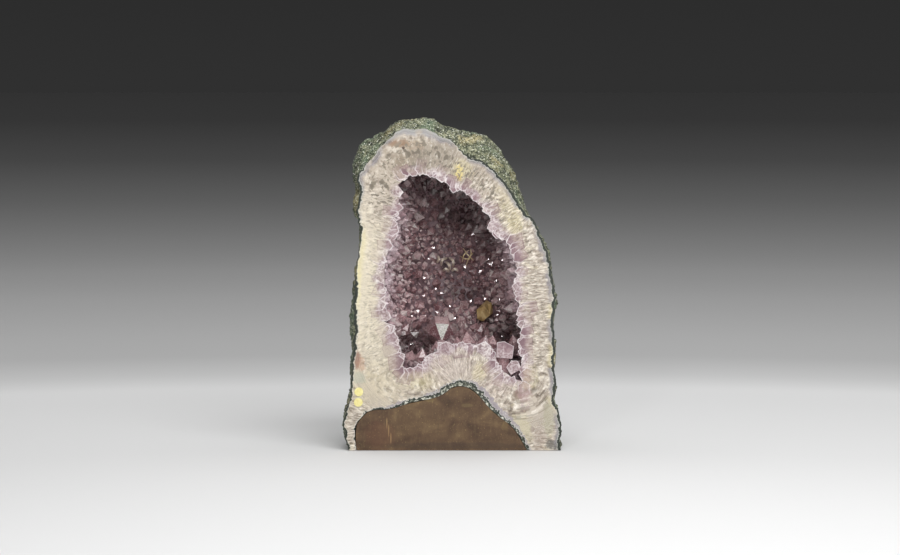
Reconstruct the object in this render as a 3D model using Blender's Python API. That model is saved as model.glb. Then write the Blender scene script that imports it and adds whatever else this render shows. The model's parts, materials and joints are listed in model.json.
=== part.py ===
"""Amethyst cathedral geode: a hollow nodule of agate and quartz, sawn open in front, on its base fill.

Metres, +Z up. The sawn face is a plane that looks along -Y, and the underside is sawn flat at z = 0.
The origin is on the table, under the middle of the whole.

The shell is rock skin, agate and comb quartz, grown as one wall. The crust is the lining of amethyst
points, sawn off with the wall at the rim. The base fill fits under the arch of the shell. A calcite
crystal sits in a pocket of the crust, and two paper dots are stuck to the sawn face.
"""

import math

import bmesh
import bpy
import numpy as np
from mathutils import Vector, noise
from mathutils.geometry import delaunay_2d_cdt

MM = 0.001

# Driving dimensions
FRONT_Y = -72.6 * MM  # plane of the saw cut
BODY_DEPTH = 146 * MM  # from the saw cut to the back of the skin
BACK_HEIGHT = 118 * MM  # height of the rearmost point
BODY_POWER = 2.6  # 2 would give a round back, more gives a squarer one
WALL_DEPTH = 112 * MM  # from the saw cut to the back of the quartz wall
DRUSE_DEPTH = 101 * MM  # from the saw cut to the roots of the rearmost crystals
HOLLOW_POWER = 2.5
HOLLOW_CENTRE = (2 * MM, 150 * MM)  # x and z of the hollow's axis
WALL_SHARE = 0.7  # how far from the outer edge to the hollow's edge the quartz wall reaches
GAP = 0.35 * MM  # between bodies that touch
FILL_LOOSE = 1.3  # gaps between the base fill and its uneven recess
FILL_SHORT = 2 * MM  # how far the fill stops short of the recess's far end
FILL_TAPER = 0.98  # width of the fill's far end, as a share of the recess's

# Outlines on the sawn face, x and z in millimetres, clockwise from the lower left
OUTER_RIM = (
    (-94, 0), (-98.5, 22), (-95, 42), (-91.5, 54), (-90.5, 68), (-89, 97), (-89, 134), (-87, 159),
    (-85, 172), (-83, 200), (-84, 208), (-87, 217), (-85, 228), (-83, 237), (-86.5, 248), (-80, 257),
    (-71, 268), (-63, 277), (-52, 287), (-43, 292), (-23, 292), (-11, 286), (0, 281), (8, 274),
    (15, 267), (29, 261), (40, 252), (51, 240), (59, 226), (68, 215), (75, 207), (83, 190), (89, 169),
    (91, 158), (93, 137), (91.5, 115), (93, 97), (93, 72), (94.5, 55), (92.5, 44), (97.5, 36),
    (99.5, 19), (98, 9), (99, 0),
)
ARCH = (
    (68.5, 0), (60, 15), (52.5, 24), (43, 31), (34.5, 38.5), (25, 50), (16, 57), (8, 59), (-1, 57),
    (-9, 51), (-21, 47), (-40, 43), (-56, 38), (-73, 37), (-81.5, 31), (-87, 24), (-88, 10), (-87, 0),
)
HOLLOW_RIM = (
    (-45, 75), (-43.5, 83), (-48, 97), (-52.5, 112), (-62, 118), (-60, 134), (-61, 146), (-61, 172),
    (-56, 186), (-49, 197), (-50, 207), (-54, 212), (-44, 220), (-48.5, 227), (-45, 235), (-49, 241.5),
    (-44, 246), (-38, 250), (-25, 251), (-11, 246), (-3, 242), (2, 236), (9, 236.5), (16, 231),
    (25, 223), (35, 214), (33.5, 199), (41, 197), (50, 190), (54, 179), (57, 171), (60, 163), (54, 149),
    (62, 131), (59, 118), (63, 112), (62, 105), (60, 95), (64, 85), (62, 73), (68.5, 62),
)
HOLLOW_SILL = (
    (68.5, 62), (57, 65), (50, 70), (43.5, 74), (37, 93), (23, 96.5), (-4, 97), (-12, 97), (-14, 90),
    (-24, 82), (-30, 77), (-38, 75), (-45, 75),
)
RIM_POINTS, LEG_POINTS, ARCH_POINTS, TOE_POINTS = 88, 4, 27, 1
AROUND = RIM_POINTS + LEG_POINTS + ARCH_POINTS + TOE_POINTS
TOOTH_REACH = 2  # outline points that even out the hollow's teeth
CORNER_REACH = 9  # outline points that round off the body's lower corners at the back
SHOULDER_REACH = 5  # outline points that round off its shoulders
SHOULDER_FROM = 70 * MM  # height over the table from which they are rounded in full

# How far the skin stands out behind the sawn edge: bearing from straight up in degrees, and mm
SWELL = (
    (-180, 0), (-100, 1), (-60, 2), (-46, 8), (-40, 5), (-31, 12), (-24, 10), (-15, 7.5), (-8, 8.5),
    (0, 13), (8, 23), (14, 25), (20, 21), (26, 13), (32, 8.5), (40, 5), (50, 2), (100, 1), (180, 0),
)
SWELL_PEAK = 0.3  # share of the body's depth at which the skin stands out most
# Rows of the skin: share of the body's depth, and the step between the outline points that it uses
SKIN_ROWS = (
    (0, 1), (0.04, 1), (0.10, 1), (0.17, 1), (0.25, 1), (0.33, 1), (0.41, 1), (0.49, 1), (0.57, 1),
    (0.65, 1), (0.73, 1), (0.81, 1), (0.87, 2), (0.92, 2), (0.96, 4), (0.99, 4),
)
FLOOR_KEEP = 0.80  # sections larger than this share of the front one reach the table
RECESS_SHARE = 0.62  # share of the depth at which the recess for the base fill ends
# Lumps of the skin: size and height in millimetres
LUMPS = ((52, 6), (21, 4), (9, 2.6))

POINT_SPACING = 8.6 * MM  # least distance between the roots of two crystals
POINT_REACH = (5 * MM, 10.5 * MM)  # how far an ordinary crystal stands out
# Large crystals: turn around the hollow (0 to 1), depth angle in degrees, clear radius and reach in mm
LARGE_CRYSTALS = (
    (0.865, 16, 13, 20), (0.80, 14, 11, 15), (0.93, 55, 11, 14), (0.69, 50, 11, 13), (0.30, 60, 10, 12),
    (0.10, 35, 10, 12), (0.52, 45, 10, 12), (0.97, 30, 10, 12), (0.44, 70, 10, 12),
)

CALCITE_AT = (31 * MM, 120 * MM)  # x and z
CALCITE_ROOT = 0.9  # of the druse's depth there
CALCITE_HALF = (8 * MM, 9 * MM, 9.8 * MM)  # half width, half depth, half height
DOT_AT = {"paper_dot_upper": (-84.6 * MM, 53.5 * MM), "paper_dot_lower": (-85.1 * MM, 43.9 * MM)}
DOT_RADIUS = 4 * MM
DOT_THICK = 0.3 * MM
DOT_SIDES = 24


def in_metres(points):
    """A list of millimetre pairs as an array in metres."""
    return np.array(points, float) * MM


def even_steps(points, count):
    """count points at even steps along straight runs through points, without the last point."""
    along = np.concatenate([[0], np.cumsum(np.linalg.norm(np.diff(points, axis=0), axis=1))])
    wanted = np.arange(count) * along[-1] / count
    return np.stack([np.interp(wanted, along, points[:, axis]) for axis in range(2)], axis=1)


def curved_run(points, count):
    """Even steps along a smooth curve through points, whose two ends are corners."""
    slopes = np.zeros_like(points)
    slopes[1:-1] = (points[2:] - points[:-2]) / 2
    t = np.linspace(0, 1, 16, endpoint=False)[:, None, None]
    dense = (
        (2 * t**3 - 3 * t**2 + 1) * points[:-1]
        + (t**3 - 2 * t**2 + t) * slopes[:-1]
        + (3 * t**2 - 2 * t**3) * points[1:]
        + (t**3 - t**2) * slopes[1:]
    )
    dense = np.concatenate([dense.transpose(1, 0, 2).reshape(-1, 2), points[-1:]])
    return even_steps(dense, count)


def toothed_run(points, count):
    """Even steps along straight runs; each corner takes the place of the step nearest to it."""
    steps = even_steps(points, count)
    for corner in points[:-1]:
        steps[np.argmin(np.linalg.norm(steps - corner, axis=1))] = corner
    return steps


def outer_outline():
    """The shell's edge on the sawn face: over the rim, along the right foot, back under the arch."""
    rim, arch = in_metres(OUTER_RIM), in_metres(ARCH)
    return np.concatenate([
        curved_run(rim, RIM_POINTS),
        even_steps(np.stack([rim[-1], arch[0]]), LEG_POINTS),
        curved_run(arch, ARCH_POINTS),
        even_steps(np.stack([arch[-1], rim[0]]), TOE_POINTS),
    ])


def toothed_outline():
    """The hollow's jagged edge on the sawn face, point for point with the outer outline."""
    return np.concatenate([
        toothed_run(in_metres(HOLLOW_RIM), RIM_POINTS),
        toothed_run(in_metres(HOLLOW_SILL), AROUND - RIM_POINTS),
    ])


def blunted(outline, reach):
    """A closed outline with its corners evened out over so many points to either side."""
    return np.mean([np.roll(outline, step, axis=0) for step in range(-reach, reach + 1)], axis=0)


def recess_left(share):
    """How much of the arch's height is left at a share of the depth: all at first, then soon none."""
    return max(0, 1 - (share / RECESS_SHARE) ** 6) ** (1 / 6)


def skin_section(outline, share):
    """The skin at a share of the body's depth, as points in space.

    The section swells, then shrinks towards the table's centre line as a superellipse does, so its feet
    stay down. Behind that it lifts off the table, loses its corners and closes on the rearmost point.
    """
    size = (1 - share**BODY_POWER) ** (1 / BODY_POWER)
    raised = min(1, max(0, (FLOOR_KEEP - size) / FLOOR_KEEP))
    lift = BACK_HEIGHT * raised**2 * (3 - 2 * raised)
    out = outline - [0, HOLLOW_CENTRE[1]]
    out /= np.linalg.norm(out, axis=1)[:, None]
    bearing = np.degrees(np.arctan2(out[:, 0], out[:, 1]))
    swell = np.interp(bearing, *zip(*SWELL)) * MM * (share / SWELL_PEAK) * math.exp(1 - share / SWELL_PEAK)
    swell[outline[:, 1] < 0.1 * MM] = 0
    swell[RIM_POINTS:] = 0
    flat = outline + out * swell[:, None]
    flat[RIM_POINTS:, 1] *= recess_left(share)
    high = np.clip(flat[:, 1:] / SHOULDER_FROM, 0, 1)
    flat += (blunted(flat, SHOULDER_REACH) - flat) * high * min(1, max(0, (share - SWELL_PEAK) / 0.3))
    flat += (blunted(flat, CORNER_REACH) - flat) * min(1, 3 * raised)
    flat *= size
    y = np.full(len(outline), FRONT_Y + share * BODY_DEPTH)
    return np.stack([flat[:, 0], y, flat[:, 1] + lift], axis=1)


def lumpy(points, strength):
    """points of the skin pushed in and out by lumps of three sizes; what is on the table stays there."""
    away = points - [0, FRONT_Y + BODY_DEPTH / 4, HOLLOW_CENTRE[1]]
    away /= np.linalg.norm(away, axis=1)[:, None]
    push = [
        sum(height * MM * noise.noise(Vector(point) / (size * MM)) for size, height in LUMPS)
        for point in points
    ]
    moved = points + away * np.array(push)[:, None] * strength[:, None]
    moved[points[:, 2] < 0.1 * MM, 2] = 0
    moved[:, 2] = np.maximum(moved[:, 2], 0)
    return moved


def skin_rows(outline):
    """Every row of the skin, from the sawn edge to just before the rearmost point."""
    rows = []
    for share, step in SKIN_ROWS:
        strength = np.full(AROUND, min(1.0, share / 0.1))
        strength[RIM_POINTS:] *= 0.3 if share < RECESS_SHARE else 1
        rows.append(lumpy(skin_section(outline, share), strength)[::step])
    return rows


class Hollow:
    """A cup behind an outline of the sawn face, by turn (0 to 1) and depth angle (0 to a right angle).

    A section shrinks towards the hollow's axis with the cosine of the depth angle, and its depth grows
    with the sine, both raised to the same power.
    """

    def __init__(self, outline, depth):
        self.outline = np.concatenate([outline, outline[:1]])
        self.depth = depth

    def at(self, turn, angle):
        """Points of the cup."""
        place = np.asarray(turn, float) % 1 * AROUND
        edge = np.stack(
            [np.interp(place, np.arange(AROUND + 1), self.outline[:, axis]) for axis in range(2)], axis=-1
        )
        size = np.abs(np.cos(angle)) ** (2 / HOLLOW_POWER)
        deep = np.abs(np.sin(angle)) ** (2 / HOLLOW_POWER)
        flat = HOLLOW_CENTRE + (edge - HOLLOW_CENTRE) * size[..., None]
        return np.stack([flat[..., 0], FRONT_Y + self.depth * deep, flat[..., 1]], axis=-1)

    def inward(self, turn, angle):
        """Unit directions from the cup into the hollow."""
        step = 0.02
        lean = np.clip(angle, step, math.pi / 2 - 2 * step)
        across = self.at(turn + step, lean) - self.at(turn - step, lean)
        back = self.at(turn, lean + step) - self.at(turn, lean - step)
        normal = np.cross(across, back)
        normal /= np.linalg.norm(normal, axis=-1)[..., None]
        middle = np.array([HOLLOW_CENTRE[0], FRONT_Y + self.depth / 3, HOLLOW_CENTRE[1]])
        facing = np.sign(((middle - self.at(turn, lean)) * normal).sum(-1))
        return normal * facing[..., None]


LADDER = np.linspace(0, math.pi / 2 - 0.02, 200)


def ladder_radii():
    """Disc radius for each depth angle of LADDER, so that a shape on the cup keeps its proportions.

    The radius shrinks by the ratio of each step along the cup to the cup's width there.
    """
    width = 0.078 * np.cos(LADDER) ** (2 / HOLLOW_POWER)
    deep = DRUSE_DEPTH * np.sin(LADDER) ** (2 / HOLLOW_POWER)
    steps = np.hypot(np.diff(width), np.diff(deep)) / ((width[1:] + width[:-1]) / 2)
    return np.exp(-np.concatenate([[0], np.cumsum(steps)]))


def on_disc(turn, angle):
    """Places of the cup laid out flat on the unit disc."""
    radius = np.interp(angle, LADDER, ladder_radii())
    return np.stack([radius * np.cos(2 * math.pi * turn), radius * np.sin(2 * math.pi * turn)], axis=-1)


def off_disc(spots):
    """Turn and depth angle of spots on the disc."""
    turn = np.arctan2(spots[:, 1], spots[:, 0]) / (2 * math.pi) % 1
    angle = np.interp(-np.linalg.norm(spots, axis=1), -ladder_radii(), LADDER)
    return turn, angle


def triangulated(spots, sides=()):
    """Delaunay triangles of flat spots, as rows of three indices; with sides, those inside them alone."""
    found = delaunay_2d_cdt([Vector(spot) for spot in spots], list(sides), [], 1 if sides else 0, 1e-9)
    source = [ids[0] for ids in found[3]]
    return [[source[corner] for corner in face] for face in found[2]]


EDGE_TURNS = np.arange(AROUND) / AROUND


def plain_cup(surface):
    """Points, inward directions and triangles of a cup, coarse enough to lie face to face with its twin."""
    turns, angles = [EDGE_TURNS], [np.zeros(AROUND)]
    for count, degrees in ((40, 14), (38, 28), (34, 42), (26, 56), (16, 69), (7, 81), (1, 88)):
        turns.append((np.arange(count) + 0.5) / count)
        angles.append(np.full(count, math.radians(degrees)))
    turn, angle = np.concatenate(turns), np.concatenate(angles)
    inward = surface.inward(turn, angle)
    inward[:AROUND, 1] = 0
    inward[:AROUND] /= np.linalg.norm(inward[:AROUND], axis=1)[:, None]
    return surface.at(turn, angle), inward, triangulated(on_disc(turn, angle))


def crystal_places(druse):
    """Turn, depth angle and reach of every crystal, no two roots closer than the spacing."""
    chance = np.random.default_rng(11)
    turns, angles, clear, reach = (list(column) for column in zip(*LARGE_CRYSTALS))
    angles = [math.radians(angle) for angle in angles]
    clear = [radius * MM for radius in clear]
    reach = [height * MM for height in reach]
    roots = list(druse.at(np.array(turns), np.array(angles)))
    for _ in range(14000):
        turn, angle = chance.random(), math.radians(4 + 84 * chance.random())
        root = druse.at(np.array([turn]), np.array([angle]))[0]
        near = np.linalg.norm(np.array(roots) - root, axis=1)
        if (near < np.maximum(POINT_SPACING, np.array(clear))).any():
            continue
        turns.append(turn)
        angles.append(angle)
        clear.append(0)
        reach.append(chance.uniform(*POINT_REACH))
        roots.append(root)
    return np.array(turns), np.array(angles), np.array(reach)


def pyramid_faces(triangles, first_valley):
    """Faces round each tip: every side that two triangles share is turned to join their valleys."""
    owners = {}
    for number, corners in enumerate(triangles):
        for start, stop in zip(corners, corners[1:] + corners[:1]):
            owners.setdefault((min(start, stop), max(start, stop)), []).append(first_valley + number)
    faces = []
    for (start, stop), valleys in owners.items():
        if len(valleys) == 1:
            faces.append((start, stop, valleys[0]))
        else:
            faces += [(start, *valleys), (stop, *valleys)]
    return faces


def crystal_sheet(druse, teeth):
    """Points and faces of the crystals: six or so flat faces run from each tip down to its valleys."""
    chance = np.random.default_rng(5)
    tip_turn, tip_angle, reach = crystal_places(druse)
    spots = on_disc(np.concatenate([EDGE_TURNS, tip_turn]), np.concatenate([np.zeros(AROUND), tip_angle]))
    triangles = triangulated(spots)
    valley_turn, valley_angle = off_disc(spots[np.array(triangles)].mean(axis=1))
    edge = np.stack([teeth[:, 0], np.full(AROUND, FRONT_Y), teeth[:, 1]], axis=1)
    lean = chance.normal(0, 0.12, (len(reach), 3))
    tips = druse.at(tip_turn, tip_angle) + (druse.inward(tip_turn, tip_angle) + lean) * reach[:, None]
    tips[:, 1] = np.maximum(tips[:, 1], FRONT_Y + 2.5 * MM)
    valleys = druse.at(valley_turn, valley_angle)
    valleys[:, 1] = np.maximum(valleys[:, 1], FRONT_Y + 1.2 * MM)
    points = np.concatenate([edge, tips, valleys])
    return points, pyramid_faces(triangles, len(spots))


def add_solid(name, points, faces, colour, roughness):
    """One closed object from points in metres and lists of point indices, its faces turned outwards."""
    mesh = bpy.data.meshes.new(name)
    mesh.from_pydata([tuple(point) for point in points], [], [list(map(int, face)) for face in faces])
    work = bmesh.new()
    work.from_mesh(mesh)
    bmesh.ops.triangulate(work, faces=work.faces)
    bmesh.ops.recalc_face_normals(work, faces=work.faces)
    work.to_mesh(mesh)
    work.free()
    material = bpy.data.materials.new(name)
    material.use_nodes = True
    shader = material.node_tree.nodes["Principled BSDF"]
    shader.inputs["Base Color"].default_value = (*colour, 1)
    shader.inputs["Roughness"].default_value = roughness
    mesh.materials.append(material)
    solid = bpy.data.objects.new(name, mesh)
    bpy.context.scene.collection.objects.link(solid)
    return solid


def ring(first, second, step=1):
    """Faces between two closed rows of point indices, of which the second may skip points of the first."""
    first, second = list(first), list(second)
    faces = []
    for k in range(len(second)):
        run = [first[(k * step + extra) % len(first)] for extra in range(step + 1)]
        faces += [(run[j], run[j + 1], second[k]) for j in range(step)]
        faces.append((run[-1], second[(k + 1) % len(second)], second[k]))
    return faces


def is_inside(spot, outline):
    """Whether a spot is inside a closed outline, by how often a line to its right crosses it."""
    x, y = (outline - spot).T
    next_x, next_y = np.roll(x, -1), np.roll(y, -1)
    crosses = (y > 0) != (next_y > 0)
    reach = x[crosses] - y[crosses] * (next_x - x)[crosses] / (next_y - y)[crosses]
    return (reach > 0).sum() % 2 == 1


def flat_ring(outer, inner):
    """Triangles of the flat face between two closed outlines, as indices that count the outer one first."""
    sides = [(k, (k + 1) % AROUND) for k in range(AROUND)]
    sides += [(AROUND + start, AROUND + stop) for start, stop in sides]
    spots = np.concatenate([outer, inner])
    return [face for face in triangulated(spots, sides) if not is_inside(spots[face].mean(axis=0), inner)]


def make_shell(rows, wall):
    """Skin, sawn rim and quartz wall: the skin's rows, the rearmost point, the flat rim, the plain cup."""
    wall_points, _, wall_faces = plain_cup(wall)
    rearmost = np.array([[0, FRONT_Y + BODY_DEPTH, BACK_HEIGHT]])
    starts = np.cumsum([0] + [len(row) for row in rows])
    faces = []
    for k in range(len(rows) - 1):
        first = range(starts[k], starts[k + 1])
        second = range(starts[k + 1], starts[k + 2])
        faces += ring(first, second, step=len(first) // len(second))
    last = range(starts[-2], starts[-1])
    pole = starts[-1]
    faces += [(one, other, pole) for one, other in zip(last, [*last[1:], last[0]])]
    rim_faces = flat_ring(rows[0][:, ::2], wall_points[:AROUND, ::2])
    cup_shift = pole + 1 - AROUND
    faces += [[corner + cup_shift * (corner >= AROUND) for corner in face] for face in rim_faces]
    faces += [[pole + 1 + corner for corner in face] for face in wall_faces]
    return add_solid(
        "quartz_shell", np.concatenate([*rows, rearmost, wall_points]), faces, (0.62, 0.57, 0.46), 0.45
    )


def make_calcite(name, druse, grow):
    """A blunt twelve-faced calcite crystal, grown by a margin, whose root is in the crust."""
    turn = np.linspace(0, 1, 240, endpoint=False)
    angle = np.linspace(0.9, 1.5, 120)
    grid = druse.at(turn[:, None] + 0 * angle, angle + 0 * turn[:, None])
    miss = np.hypot(grid[..., 0] - CALCITE_AT[0], grid[..., 2] - CALCITE_AT[1])
    root_y = grid[..., 1].flat[miss.argmin()]
    centre = np.array([CALCITE_AT[0], FRONT_Y + (root_y - FRONT_Y) * CALCITE_ROOT, CALCITE_AT[1]])
    half = np.array(CALCITE_HALF) + grow
    around = np.arange(6) * math.pi / 3 + 0.35
    zigzag = (-1.0) ** np.arange(6)
    waist = np.stack([np.cos(around), np.sin(around), 0.28 * zigzag], axis=1)
    cap = np.stack([0.42 * np.cos(around), 0.42 * np.sin(around), 0.86 - 0.16 * zigzag], axis=1)
    tips = np.array([[0, 0, 1.0], [0, 0, -1.0]])
    points = np.concatenate([waist, cap, cap * [1, 1, -1], tips]) * half
    tilt = np.array([[0.90, 0.0, 0.43], [-0.13, 0.95, 0.27], [-0.41, -0.30, 0.86]])
    faces = ring(range(6), range(6, 12)) + ring(range(6), range(12, 18))
    faces += [(6 + k, 6 + (k + 1) % 6, 18) for k in range(6)]
    faces += [(12 + k, 12 + (k + 1) % 6, 19) for k in range(6)]
    return add_solid(name, points @ tilt.T + centre, faces, (0.36, 0.25, 0.08), 0.25)


def make_crust(wall, druse, teeth):
    """The lining of amethyst points, a gap inside the wall, with a pocket for the calcite crystal."""
    back, inward, back_faces = plain_cup(wall)
    front, front_faces = crystal_sheet(druse, teeth)
    start = len(back)
    faces = back_faces + [[start + corner for corner in face] for face in front_faces]
    faces += ring(range(AROUND), range(start, start + AROUND))
    crust = add_solid(
        "amethyst_crust", np.concatenate([back + inward * GAP, front]), faces, (0.20, 0.10, 0.17), 0.15
    )
    cutter = make_calcite("calcite_pocket", druse, GAP * 1.3)
    cutter.hide_render = True
    cutter.display_type = "WIRE"
    pocket = crust.modifiers.new("pocket", "BOOLEAN")
    pocket.operation = "DIFFERENCE"
    pocket.object = cutter
    return crust


def make_base_fill(rows):
    """The fill under the arch: the recess's surface taken in by a gap, closed in front and below."""
    first = RIM_POINTS + LEG_POINTS
    deep = 1 + next(k for k, (share, _) in enumerate(SKIN_ROWS) if share >= RECESS_SHARE)
    recess = np.array([row[first:first + ARCH_POINTS + 1] for row in rows[:deep]])
    back = np.gradient(recess, axis=0)
    along = np.gradient(recess, axis=1)
    down = np.cross(along, back)
    down[0, :, 1] = 0
    down[:, [0, -1], 2] = 0
    down[-1, :, 2] = 0
    down[0, [0, -1], 1:] = 0
    down[-1, [0, -1]] = down[-2, [0, -1]]
    down /= np.linalg.norm(down, axis=2)[..., None]
    down[-1, [0, -1], 1] -= 1
    top = recess + down * GAP * FILL_LOOSE
    top[-1, :, 2] = 0
    top[-1, :, 1] -= FILL_SHORT
    top[-1, :, 0] *= FILL_TAPER
    top[:, [0, -1], 2] = 0
    across = ARCH_POINTS + 1
    index = np.arange(deep * across).reshape(deep, across)
    corner, beside = index[:-1, :-1].ravel(), index[:-1, 1:].ravel()
    behind, across_behind = index[1:, :-1].ravel(), index[1:, 1:].ravel()
    faces = [*zip(corner, beside, behind), *zip(beside, across_behind, behind)]
    faces.append(list(index[0]))
    faces.append([*index[:, 0], *index[-1, 1:-1], *index[::-1, -1]])
    return add_solid("base_fill", top.reshape(-1, 3), faces, (0.13, 0.085, 0.055), 0.7)


def make_dot(name, centre):
    """A blank paper disc, a gap in front of the sawn face."""
    turns = np.arange(DOT_SIDES) * 2 * math.pi / DOT_SIDES
    x, z = centre[0] + DOT_RADIUS * np.cos(turns), centre[1] + DOT_RADIUS * np.sin(turns)
    backs = np.full(DOT_SIDES, FRONT_Y - GAP)
    points = np.concatenate([
        np.stack([x, backs, z], axis=1),
        np.stack([x, backs - DOT_THICK, z], axis=1),
    ])
    faces = [list(range(DOT_SIDES)), list(range(DOT_SIDES, 2 * DOT_SIDES))]
    faces += ring(range(DOT_SIDES), range(DOT_SIDES, 2 * DOT_SIDES))
    return add_solid(name, points, faces, (0.80, 0.74, 0.45), 0.7)


def main():
    for thing in list(bpy.data.objects):
        bpy.data.objects.remove(thing)
    outer, teeth = outer_outline(), toothed_outline()
    inner = blunted(teeth, TOOTH_REACH)
    wall = Hollow(outer + (inner - outer) * WALL_SHARE, WALL_DEPTH)
    druse = Hollow(inner, DRUSE_DEPTH)
    rows = skin_rows(outer)
    make_shell(rows, wall)
    make_crust(wall, druse, teeth)
    make_calcite("calcite_crystal", druse, 0)
    make_base_fill(rows)
    for name, centre in DOT_AT.items():
        make_dot(name, centre)


main()
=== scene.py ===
# %% [markdown]
# # An amethyst cathedral geode
# Gas left a hollow in a lava flow. Water lined it with agate, then with a comb of pale quartz, and last
# with amethyst points. The nodule was dug out, sawn open and ground flat in front, and it stands on a
# brown cement fill. The solids of the frame give every size here. The cells below dress them: the sawn
# face, the rock skin, the crystals and the small things that sit on them.

import json
import math

import bpy
import numpy as np
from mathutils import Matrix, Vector
from mathutils.geometry import delaunay_2d_cdt

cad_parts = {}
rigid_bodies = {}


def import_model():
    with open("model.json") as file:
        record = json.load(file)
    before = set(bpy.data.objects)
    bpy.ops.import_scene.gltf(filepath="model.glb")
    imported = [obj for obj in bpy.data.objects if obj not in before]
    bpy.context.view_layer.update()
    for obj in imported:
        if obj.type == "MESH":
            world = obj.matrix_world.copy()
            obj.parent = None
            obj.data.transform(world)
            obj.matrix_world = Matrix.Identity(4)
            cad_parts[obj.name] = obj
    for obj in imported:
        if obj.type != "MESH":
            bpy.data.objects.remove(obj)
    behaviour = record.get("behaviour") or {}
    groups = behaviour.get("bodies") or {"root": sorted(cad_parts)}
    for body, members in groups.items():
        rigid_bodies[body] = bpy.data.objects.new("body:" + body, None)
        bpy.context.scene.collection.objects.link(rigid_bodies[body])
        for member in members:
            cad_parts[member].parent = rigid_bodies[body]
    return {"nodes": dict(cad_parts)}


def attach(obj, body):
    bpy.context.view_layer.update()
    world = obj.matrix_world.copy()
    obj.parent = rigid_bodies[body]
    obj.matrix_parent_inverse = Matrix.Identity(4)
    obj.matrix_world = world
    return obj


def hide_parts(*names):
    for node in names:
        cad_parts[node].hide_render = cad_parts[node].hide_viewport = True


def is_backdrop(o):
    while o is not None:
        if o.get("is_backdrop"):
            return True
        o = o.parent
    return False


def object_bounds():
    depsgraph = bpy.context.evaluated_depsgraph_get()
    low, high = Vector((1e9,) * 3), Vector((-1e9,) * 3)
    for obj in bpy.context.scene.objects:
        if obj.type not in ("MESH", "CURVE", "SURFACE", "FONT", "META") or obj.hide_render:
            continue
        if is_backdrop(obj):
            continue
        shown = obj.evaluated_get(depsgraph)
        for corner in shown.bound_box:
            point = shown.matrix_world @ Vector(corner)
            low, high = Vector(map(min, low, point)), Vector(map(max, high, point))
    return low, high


MM = 0.001
for thing in list(bpy.data.objects):
    bpy.data.objects.remove(thing)
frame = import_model()
CAD_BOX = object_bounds()
FRONT_Y = CAD_BOX[0].y + 0.65 * MM  # plane of the saw cut; the paper dots stand before it
CAMERA_FAR = 2.6
CAMERA_DOWN = math.radians(4)
AIM = Vector((-1.8 * MM, FRONT_Y, 157.6 * MM))  # what the middle of the photograph shows
CAMERA_AT = AIM + Vector((0, -math.cos(CAMERA_DOWN), math.sin(CAMERA_DOWN))) * CAMERA_FAR
PIXEL = 0.906 * MM  # what a pixel of the 900 wide photograph shows at the sawn face
PIXEL_ORIGIN = (452, 451.5)  # the pixel in which x and z are 0
KEY_AT, SPARKLE_AT = (0.3, -0.85, 1.1), (-0.35, -1.5, 0.75)
FILL_AT, TOP_AT = (0.6, -1.9, 0.5), (0, 0.45, 1.5)
print("solids", sorted(frame["nodes"]), "front", round(FRONT_Y / MM, 2), "mm")

# %% [markdown]
# ## Helpers
# A piece is an array of points and arrays of faces. A surface is a grid of points, so its faces follow
# from the grid's size alone. Noise is made with arrays too: it gives each corner of a lattice a random
# number and blends between the corners, which is what rock and broken edges need.

# %% Meshes from arrays
def grid_faces(rows, columns, closed):
    """Four-sided faces of a grid whose points run row by row; closed joins the last column to the first."""
    here = np.arange(rows * columns).reshape(rows, columns)
    beside = np.roll(here, -1, axis=1)
    faces = np.stack([here[:-1], beside[:-1], beside[1:], here[1:]], axis=-1)
    return (faces if closed else faces[:, :-1]).reshape(-1, 4)


def new_piece(name, points, faces, finishes, smooth=False):
    """A mesh of points in metres and arrays of faces, which rides on the one body."""
    mesh = bpy.data.meshes.new(name)
    mesh.from_pydata(points.reshape(-1, 3).tolist(), [], [face for group in faces for face in group.tolist()])
    for finish in finishes:
        mesh.materials.append(finish)
    if smooth:
        mesh.shade_smooth()
    piece = bpy.data.objects.new(name, mesh)
    bpy.context.scene.collection.objects.link(piece)
    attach(piece, "root")
    print(name, len(mesh.vertices), "points,", sum(len(p.vertices) - 2 for p in mesh.polygons), "triangles")
    return piece


def read(items, name, width, kind=np.float32):
    """A property of all vertices, corners or faces of a mesh, as an array with so many columns."""
    found = np.empty(len(items) * width, kind)
    items.foreach_get(name, found)
    return found.reshape(-1, width)


def add_values(piece, name, values, domain="POINT"):
    """Keeps a number for each point or face, which a material reads by its name."""
    kept = piece.data.attributes.new(name, "FLOAT", domain)
    kept.data.foreach_set("value", np.asarray(values, np.float32).ravel())


def add_uv(piece, name, uv):
    """Keeps two numbers for each point as a UV map."""
    corners = read(piece.data.loops, "vertex_index", 1, np.int32).ravel()
    layer = piece.data.uv_layers.new(name=name)
    layer.data.foreach_set("uv", uv[corners].astype(np.float32).ravel())


def used_only(points, *groups):
    """Points that some face uses, the groups of faces numbered anew, and the points' old numbers."""
    kept = np.unique(np.concatenate([group.ravel() for group in groups]))
    number = np.full(len(points), -1)
    number[kept] = np.arange(len(kept))
    return points[kept], [number[group] for group in groups], kept


def unit(vectors):
    """Vectors of any length made one long."""
    return vectors / np.maximum(np.linalg.norm(vectors, axis=-1, keepdims=True), 1e-12)


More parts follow.
